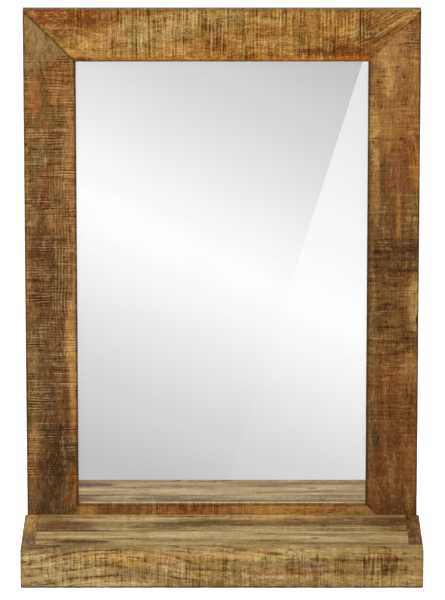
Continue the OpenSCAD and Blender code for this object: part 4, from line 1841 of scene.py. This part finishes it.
SIDE_TIMBER = SawnTimber(
    SIDE_TONES,
    seed=7.7,
    figure=0.7,
    cross=0.1,
    scores=0.0,
    pith=(-12.0, 9.0),
    wander=9.0,
    edge_strength=0.4,
    light=0.85,
    stains=LEFT_SIDE_STAINS,
)
SIDE_SAWING = Sawing(seed=83, pitch=5.0, depth=0.12, dark=0.3, light=0.2, run=14)
PLANK_TIMBER = SawnTimber(
    PLANK_TONES,
    seed=10.6,
    fibre=0.45,
    fibre_width=11.0,
    fibre_length=90.0,
    figure=0.6,
    cross=0.24,
    cross_length=20.0,
    scores=0.0,
    pores=0.2,
    mottle=0.2,
    ring_pitch=20.0,
    ring_run=700.0,
    pith=(60.0, -26.0),
    wander=5.0,
    edge=(122, 98, 62),
    edge_strength=0.2,
    sheen=0.002,
    light=0.8,
    stains=PLANK_STAINS,
)
PLANK_SAWING = Sawing(seed=113, pitch=9.0, depth=0.05, dark=0.1, light=0.05, run=20)

MEMBER_LOOKS = {
    "top_rail": BoardLook(
        timber=SawnTimber(
            TOP_TONES,
            seed=1.3,
            fibre=0.25,
            figure=0.2,
            cross_length=44.0,
            broad=0.3,
            scores=0.45,
            teeth=0.4,
            teeth_pitch=4.6,
            waver=2.5,
            strokes=1.15,
            pores=0.5,
            flecks=1.0,
            edge=(84, 66, 20),
            swell=(505.0, 62.0, 46.0),
            swell_gain=2.2,
            stains=TOP_STAINS,
        ),
        sawing=Sawing(
            seed=11,
            pitch=3.4,
            dark=0.6,
            light=0.35,
            run=60,
            slant=0.004,
            patches=TOP_PATCHES,
            smooth=(
                ((484, 30), (50, 60), 1.0),
                ((70, 60), (46, 10), 0.8),
                ((24, 20), (30, 40), 1.0),
                ((260, 66), (260, 6), 0.7),
            ),
        ),
        dark_joints=(1.6, 0.5),
        # Painted shade on the inner edge beside the glass, and towards the back of the top face
        dark_edges=(0.0, 1.0),
        dark_back=0.8,
    ),
    "bottom_rail": BoardLook(
        timber=SawnTimber(
            LOWER_TONES,
            seed=4.1,
            figure=0.2,
            cross=0.5,
            teeth=0.4,
            light=0.68,
            stains=LOWER_STAINS,
        ),
        sawing=Sawing(
            seed=23,
            pitch=2.3,
            run=30,
            slant=0.05,
            smooth=(((400, 58), (110, 30), 0.85),),
        ),
        dark_edges=(1.0, 0.9),
    ),
    "left_stile": BoardLook(
        timber=SawnTimber(
            LEFT_TONES,
            seed=2.7,
            fibre=0.25,
            figure=0.12,
            cross_length=50.0,
            broad=0.2,
            scores=0.4,
            teeth=0.65,
            teeth_pitch=3.5,
            pores=0.36,
            combs=(
                Comb((290, 47), (95, 14), 3.9, 0.4),
                Comb((400, 46), (60, 12), 3.9, 0.35),
                Comb((205, 30), (50, 26), 3.3, 0.2),
            ),
            stains=LEFT_STAINS,
        ),
        sawing=Sawing(
            seed=37,
            pitch=3.4,
            dark=0.4,
            light=0.6,
            run=60,
            slant=0.008,
            even=0.6,
            patches=LEFT_PATCHES,
            smooth=(((26, 24), (38, 40), 1.0), ((655, 34), (50, 60), 1.0), ((592, 38), (36, 30), 0.6)),
        ),
        dark_joints=(1.6, 0.5),
        marks=(Mark((172, 2.5), (2.4, 1.6), 0.5, 0.9), Mark((233, 8), (2.0, 1.2), 0.3, 0.6)),
    ),
    "right_stile": BoardLook(
        timber=SawnTimber(
            RIGHT_TONES,
            seed=3.9,
            fibre=0.28,
            fibre_length=60.0,
            fibre_width=2.4,
            figure=0.25,
            cross=0.5,
            cross_length=24.0,
            broad=0.4,
            scores=0.4,
            teeth=0.15,
            teeth_pitch=3.6,
            pores=0.4,
            mottle=0.14,
            clouds=0.2,
            stains=RIGHT_STAINS,
        ),
        sawing=Sawing(
            seed=53,
            pitch=4.0,
            dark=0.35,
            light=0.3,
            run=44,
            patches=RIGHT_PATCHES,
            smooth=(((612, 34), (74, 60), 0.55), ((230, 30), (50, 34), 0.35)),
        ),
        dark_joints=(0.3, 0.7),
        marks=(
            Mark((38, 0.5), (7.0, 1.8), 0.8, 1.0),
            Mark((400, 1.5), (10.0, 3.4), 1.0, 1.0),
            Mark((211, 33), (5.0, 1.2), 0.3, 0.5),
        ),
    ),
}


LEDGE_LOOKS = {
    "ledge_front_board": BoardLook(
        timber=SawnTimber(
            FRONT_TONES,
            seed=6.2,
            fibre=0.2,
            figure=0.45,
            ring_lines=0.28,
            cross=0.28,
            scores=0.5,
            broad=0.45,
            teeth=0.1,
            strokes=1.3,
            ring_pitch=8.0,
            pith=(82.0, -26.0),
            wander=4.0,
            swell=(120.0, 105.0, 19.0),
            edge=(62, 52, 30),
            edge_strength=0.9,
            stains=FRONT_STAINS,
        ),
        sawing=Sawing(
            seed=71,
            pitch=4.2,
            depth=0.2,
            dark=0.5,
            light=0.5,
            run=20,
            slant=0.02,
            patches=FRONT_PATCHES,
            smooth=(((250, 0), (330, 9), 0.7),),
        ),
        dark_joints=(1.0, 0.6),
        marks=(Mark((371, 22.6), (16, 3.6), 0.2, 0.42),),
    ),
    "ledge_left_side": BoardLook(SIDE_TIMBER, SIDE_SAWING),
    "ledge_right_side": BoardLook(
        replace(
            SIDE_TIMBER, seed=8.4, figure=0.5, pith=(-40.0, 9.0), wander=6.0, stains=RIGHT_SIDE_STAINS
        ),
        replace(SIDE_SAWING, seed=97),
    ),
    "ledge_rear_plank": BoardLook(
        replace(
            PLANK_TIMBER,
            tones=REAR_TONES,
            seed=9.7,
            fibre=0.4,
            fibre_width=9.0,
            figure=0.4,
            cross=0.28,
            ring_pitch=22.0,
            pith=(-25.0, -20.0),
            edge=(110, 88, 56),
            edge_strength=0.25,
            light=0.78,
            stains=REAR_STAINS,
        ),
        replace(PLANK_SAWING, seed=101),
    ),
    "ledge_front_plank": BoardLook(PLANK_TIMBER, PLANK_SAWING),
}


@dataclass
class BoxLedge:
    """The ledge: a front board, two side boards and two planks, glued up over a hollow."""

    nose: float = 8.0
    edge_radius: float = 2.5
    plank_edge: float = 0.5

    def front_board(self, node: str) -> Board:
        """Lays out the front board, whose a runs down from its rounded top.

        Args:
            node: The board's node.

        Returns:
            The board.
        """
        low, high, (length, t, h) = measured(node)
        r = self.edge_radius
        section = Section.face((h, t), (self.nose, r), (9, 4), (2.0, 1.1), Skin.SAWN)
        section.run((h, t), 3.0, Skin.SIDE).run((0.0, t), 5.0, Skin.PLANED)
        # Dents and the painted shade along edges go on the lower edge, and the nose stays without them
        section.rounded = [on and point[0] > h / 2 for on, point in zip(section.rounded, section.points)]
        placing = Placing(Vector((low.x, low.y, high.z)), RIGHTWARD, -UPWARD, INWARD)
        look = LEDGE_LOOKS[node]
        return Board("sawn_" + node, length, section, placing, look, end_round=r, joint_width=1.2)

    def side_board(self, node: str, side: Side) -> Board:
        """Lays out a side board, whose a runs down from its top and d in from its outer face.

        Args:
            node: The board's node.
            side: Which side it is on.

        Returns:
            The board.
        """
        low, high, (t, length, h) = measured(node)
        r = self.edge_radius
        section = Section.face((h, t), (r, r), (5, 4), (1.6, 1.6), Skin.SAWN)
        section.run((h, t), 3.0, Skin.SIDE).run((0.0, t), 5.0, Skin.PLANED)
        outer = Vector((low.x if side is Side.LEFT else high.x, high.y, high.z))
        placing = Placing(outer, -INWARD, -UPWARD, RIGHTWARD * -side.value)
        return Board("sawn_" + node, length, section, placing, LEDGE_LOOKS[node])

    def plank(self, node: str) -> Board:
        """Lays out a plank, whose a runs forward from its rear edge and d down from its top.

        Args:
            node: The plank's node.

        Returns:
            The board.
        """
        low, high, (length, w, t) = measured(node)
        e = self.plank_edge
        section = Section.face((w, t), (e, e), (3, 3), (6.0, 1.5), Skin.HIDDEN)
        section.run((w, t), 6.0, Skin.HIDDEN).run((0.0, t), 4.0, Skin.PLANED)
        placing = Placing(Vector((low.x, high.y, high.z)), RIGHTWARD, -INWARD, -UPWARD)
        return Board("planed_" + node, length, section, placing, LEDGE_LOOKS[node], hollow=0.06, wear=0.1)

    def build(self) -> None:
        """Makes and dresses the five boards."""
        boards = {
            "ledge_front_board": self.front_board("ledge_front_board"),
            "ledge_left_side": self.side_board("ledge_left_side", Side.LEFT),
            "ledge_right_side": self.side_board("ledge_right_side", Side.RIGHT),
            "ledge_rear_plank": self.plank("ledge_rear_plank"),
            "ledge_front_plank": self.plank("ledge_front_plank"),
        }
        for node, board in boards.items():
            material = LEDGE_LOOKS[node].timber.material(node + "_timber")
            hand_in(board.build(), material, "ledge_timber", node)


class KeptParts:
    """The CAD pieces whose shape is kept, each in its own finish."""

    FINISHES = {
        "silvered_glass": (SilveredGlass(), ("mirror_glass",)),
        "backing_hardboard": (Hardboard(), ("backing_board",)),
        "packer_rubber": (PACKER_RUBBER, ("glass_packers",)),
        "bright_zinc": (
            BRIGHT_ZINC,
            ("backing_screws", "left_hanger_plate", "right_hanger_plate", "hanger_screws", "ledge_screws"),
        ),
        "beech_along_x": (
            BEECH_ALONG_X,
            (
                "top_left_biscuit",
                "top_right_biscuit",
                "bottom_left_biscuit",
                "bottom_right_biscuit",
                "ledge_plank_dowels",
            ),
        ),
        "beech_along_y": (BEECH_ALONG_Y, ("ledge_side_dowels", "ledge_front_dowels")),
    }

    def build(self) -> None:
        """Dresses the glass, its packers and backing, the hangers, the screws and the hidden joints."""
        for name, (finish, nodes) in self.FINISHES.items():
            material = finish.material(name)
            for node in nodes:
                dress(node, material)


@dataclass(frozen=True)
class Lamp:
    """One soft square light."""

    name: str
    at: tuple[float, float, float]
    towards: tuple[float, float, float]
    size: float
    watts: float
    tone: Rgb = (255, 255, 255)

    def hang(self) -> None:
        """Puts the light in the scene."""
        data = bpy.data.lights.new(self.name, "AREA")
        data.shape, data.size, data.energy = "SQUARE", self.size, self.watts
        data.color = linear(self.tone)[:3]
        lamp = bpy.data.objects.new(self.name, data)
        lamp.location = self.at
        lamp.rotation_euler = (Vector(self.towards) - Vector(self.at)).to_track_quat("-Z", "Y").to_euler()
        bpy.context.scene.collection.objects.link(lamp)


@dataclass
class Studio:
    """The camera, the lights, the pale floor, and the grey card that the glass reflects."""

    image: tuple[int, int] = (445, 600)
    sensor: float = 36.0
    lens: float = 291.35
    eye: tuple[float, float, float] = (0.0038, -6.0, 1.1645)
    pitch: float = 0.22875
    shift: tuple[float, float] = (-0.00418, -0.15)
    clip_end: float = 50.0
    surround_light: float = 0.62
    floor_z: float = -1.2
    floor_half: float = 15.0
    card_distance: float = 7.8
    card_half: float = 2.2
    card_gain: float = 1.05
    full_level: float = 255.0
    screen_power: float = 2.2
    # The card's brightest line and its edge, by pixels of the photograph
    ridge: Point = (84.0, 205.0)
    ridge_slopes: tuple[float, float] = (0.48, 0.43)
    ridge_level: float = 255.5
    falls: tuple[float, float] = (0.258, 0.268)
    levels: tuple[float, float] = (188.0, 252.5)
    edge_top: Point = (360.0, 70.0)
    edge_slope: float = 0.322
    lift: tuple[float, float] = (0.55, 0.06)
    lift_span: tuple[float, float] = (-40.0, 20.0)
    lamps: tuple[Lamp, ...] = (
        Lamp("key", (-1.3, -2.0, 1.7), (0.0, 0.0, -0.35), 1.4, 34.0),
        Lamp("fill", (1.8, -2.2, 0.4), (0.0, 0.0, -0.4), 2.0, 14.0),
        Lamp("back", (0.0, 2.2, 0.0), (0.0, 0.0, -0.3), 2.4, 22.0),
    )

    def build(self) -> None:
        """Sets up the whole studio."""
        self.camera()
        self.world()
        self.floor()
        self.card()
        for lamp in self.lamps:
            lamp.hang()
        bpy.context.scene.view_settings.view_transform = "Standard"
        log.info("studio: lens %.1f mm, %d lamps", self.lens, len(self.lamps))

    def camera(self) -> None:
        """Makes the camera, looking along +Y and pitched down."""
        data = bpy.data.cameras.new("camera")
        data.sensor_width, data.lens = self.sensor, self.lens
        data.shift_x, data.shift_y = self.shift
        data.clip_end = self.clip_end
        camera = bpy.data.objects.new("camera", data)
        camera.location = self.eye
        camera.rotation_euler = (math.pi / 2 - self.pitch, 0.0, 0.0)
        bpy.context.scene.collection.objects.link(camera)
        bpy.context.scene.camera = camera

    def world(self) -> None:
        """Makes a white surround, pure white to the camera and softer as a light."""
        world = bpy.data.worlds.new("surround")
        world.use_nodes = True
        nodes, links = world.node_tree.nodes, world.node_tree.links
        nodes.clear()
        path = nodes.new("ShaderNodeLightPath")
        strength = nodes.new("ShaderNodeMapRange")
        strength.inputs["To Min"].default_value = self.surround_light
        strength.inputs["To Max"].default_value = 1.0
        backdrop = nodes.new("ShaderNodeBackground")
        backdrop.inputs["Color"].default_value = WHITE
        out = nodes.new("ShaderNodeOutputWorld")
        links.new(path.outputs["Is Camera Ray"], strength.inputs["Value"])
        links.new(strength.outputs["Result"], backdrop.inputs["Strength"])
        links.new(backdrop.outputs[0], out.inputs["Surface"])
        bpy.context.scene.world = world

    def floor(self) -> None:
        """Makes the pale floor, well below the mirror as it hangs."""
        t = Tree("pale_floor")
        cloud = t.noise(t.spread((6.0, 6.0, 6.0)), 2.0)
        material = t.finish(
            Base_Color=t.mix(t.eased(cloud, 0.3, 0.7), (250, 250, 250), (253, 253, 253)),
            Roughness=0.9,
            Emission_Color=WHITE,
            Emission_Strength=0.55,
        )
        floor = square("floor", self.floor_half, material)
        floor.location.z = self.floor_z
        floor.visible_glossy = False

    def card(self) -> None:
        """Makes the grey card, square to the camera as the glass turns it round.

        It stands in front of the mirror, and only reflections show it.
        """
        glass_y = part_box("mirror_glass")[0].y
        eye = Vector((self.eye[0], 2 * glass_y - self.eye[1], self.eye[2]))
        forward = Vector((0, -math.cos(self.pitch), -math.sin(self.pitch)))
        up = Vector((0, -math.sin(self.pitch), math.cos(self.pitch)))
        middle = eye + forward * self.card_distance
        card = square("card", self.card_half, self.card_material())
        rows = [[RIGHTWARD[i], up[i], -forward[i], middle[i]] for i in range(3)]
        card.matrix_world = Matrix([*rows, [0, 0, 0, 1]])
        card.visible_camera = card.visible_diffuse = card.visible_shadow = card.visible_transmission = False

    def card_material(self) -> bpy.types.Material:
        """Lights the card as a gradient that falls off on both sides of a ridge, and lifts past an edge.

        Returns:
            The material.
        """
        t = Tree("card_gradient")
        per_metre = self.lens / self.sensor * self.image[1] / self.card_distance
        centre_u = self.image[0] / 2 - self.shift[0] * self.image[1]
        centre_v = self.image[1] / 2 + self.shift[1] * self.image[1]
        axes = t.node("SeparateXYZ", {0: t.node("TexCoord").outputs["Object"]}).outputs
        u = t.math("ADD", t.math("MULTIPLY", axes[0], per_metre), centre_u)
        v = t.math("ADD", t.math("MULTIPLY", axes[1], -per_metre), centre_v)
        aside, below = t.math("SUBTRACT", u, self.ridge[0]), t.math("SUBTRACT", v, self.ridge[1])
        upper = t.math("SUBTRACT", below, t.math("MULTIPLY", aside, self.ridge_slopes[0]))
        lower = t.math("SUBTRACT", below, t.math("MULTIPLY", aside, self.ridge_slopes[1]))
        rise = t.math("ADD", self.ridge_level, t.math("MULTIPLY", upper, self.falls[0]))
        drop = t.math("SUBTRACT", self.ridge_level, t.math("MULTIPLY", lower, self.falls[1]))
        level = t.math("MINIMUM", t.math("MINIMUM", rise, drop), self.levels[1])
        level = t.math("MAXIMUM", level, self.levels[0])
        leaning = t.math("MULTIPLY", t.math("SUBTRACT", v, self.edge_top[1]), self.edge_slope)
        beyond = t.math("GREATER_THAN", u, t.math("SUBTRACT", self.edge_top[0], leaning))
        lift = t.eased(upper, *self.lift_span, self.lift)
        lifted = t.math("ADD", level, t.math("MULTIPLY", t.math("SUBTRACT", self.full_level, level), lift))
        level = t.math("ADD", level, t.math("MULTIPLY", t.math("SUBTRACT", lifted, level), beyond))
        light = t.math("POWER", t.math("DIVIDE", level, self.full_level), self.screen_power)
        strength = t.math("MULTIPLY", light, self.card_gain)
        glow = t.node("Emission", {"Color": WHITE, "Strength": strength})
        t.node("OutputMaterial", {"Surface": glow.outputs[0]})
        return t.material


def main() -> None:
    """Builds and dresses the mirror, then sets up the studio round it."""
    logging.basicConfig(level=logging.INFO, format="%(name)s: %(message)s")
    MitredFrame().build()
    BoxLedge().build()
    KeptParts().build()
    Studio().build()


if __name__ == "__main__":
    main()
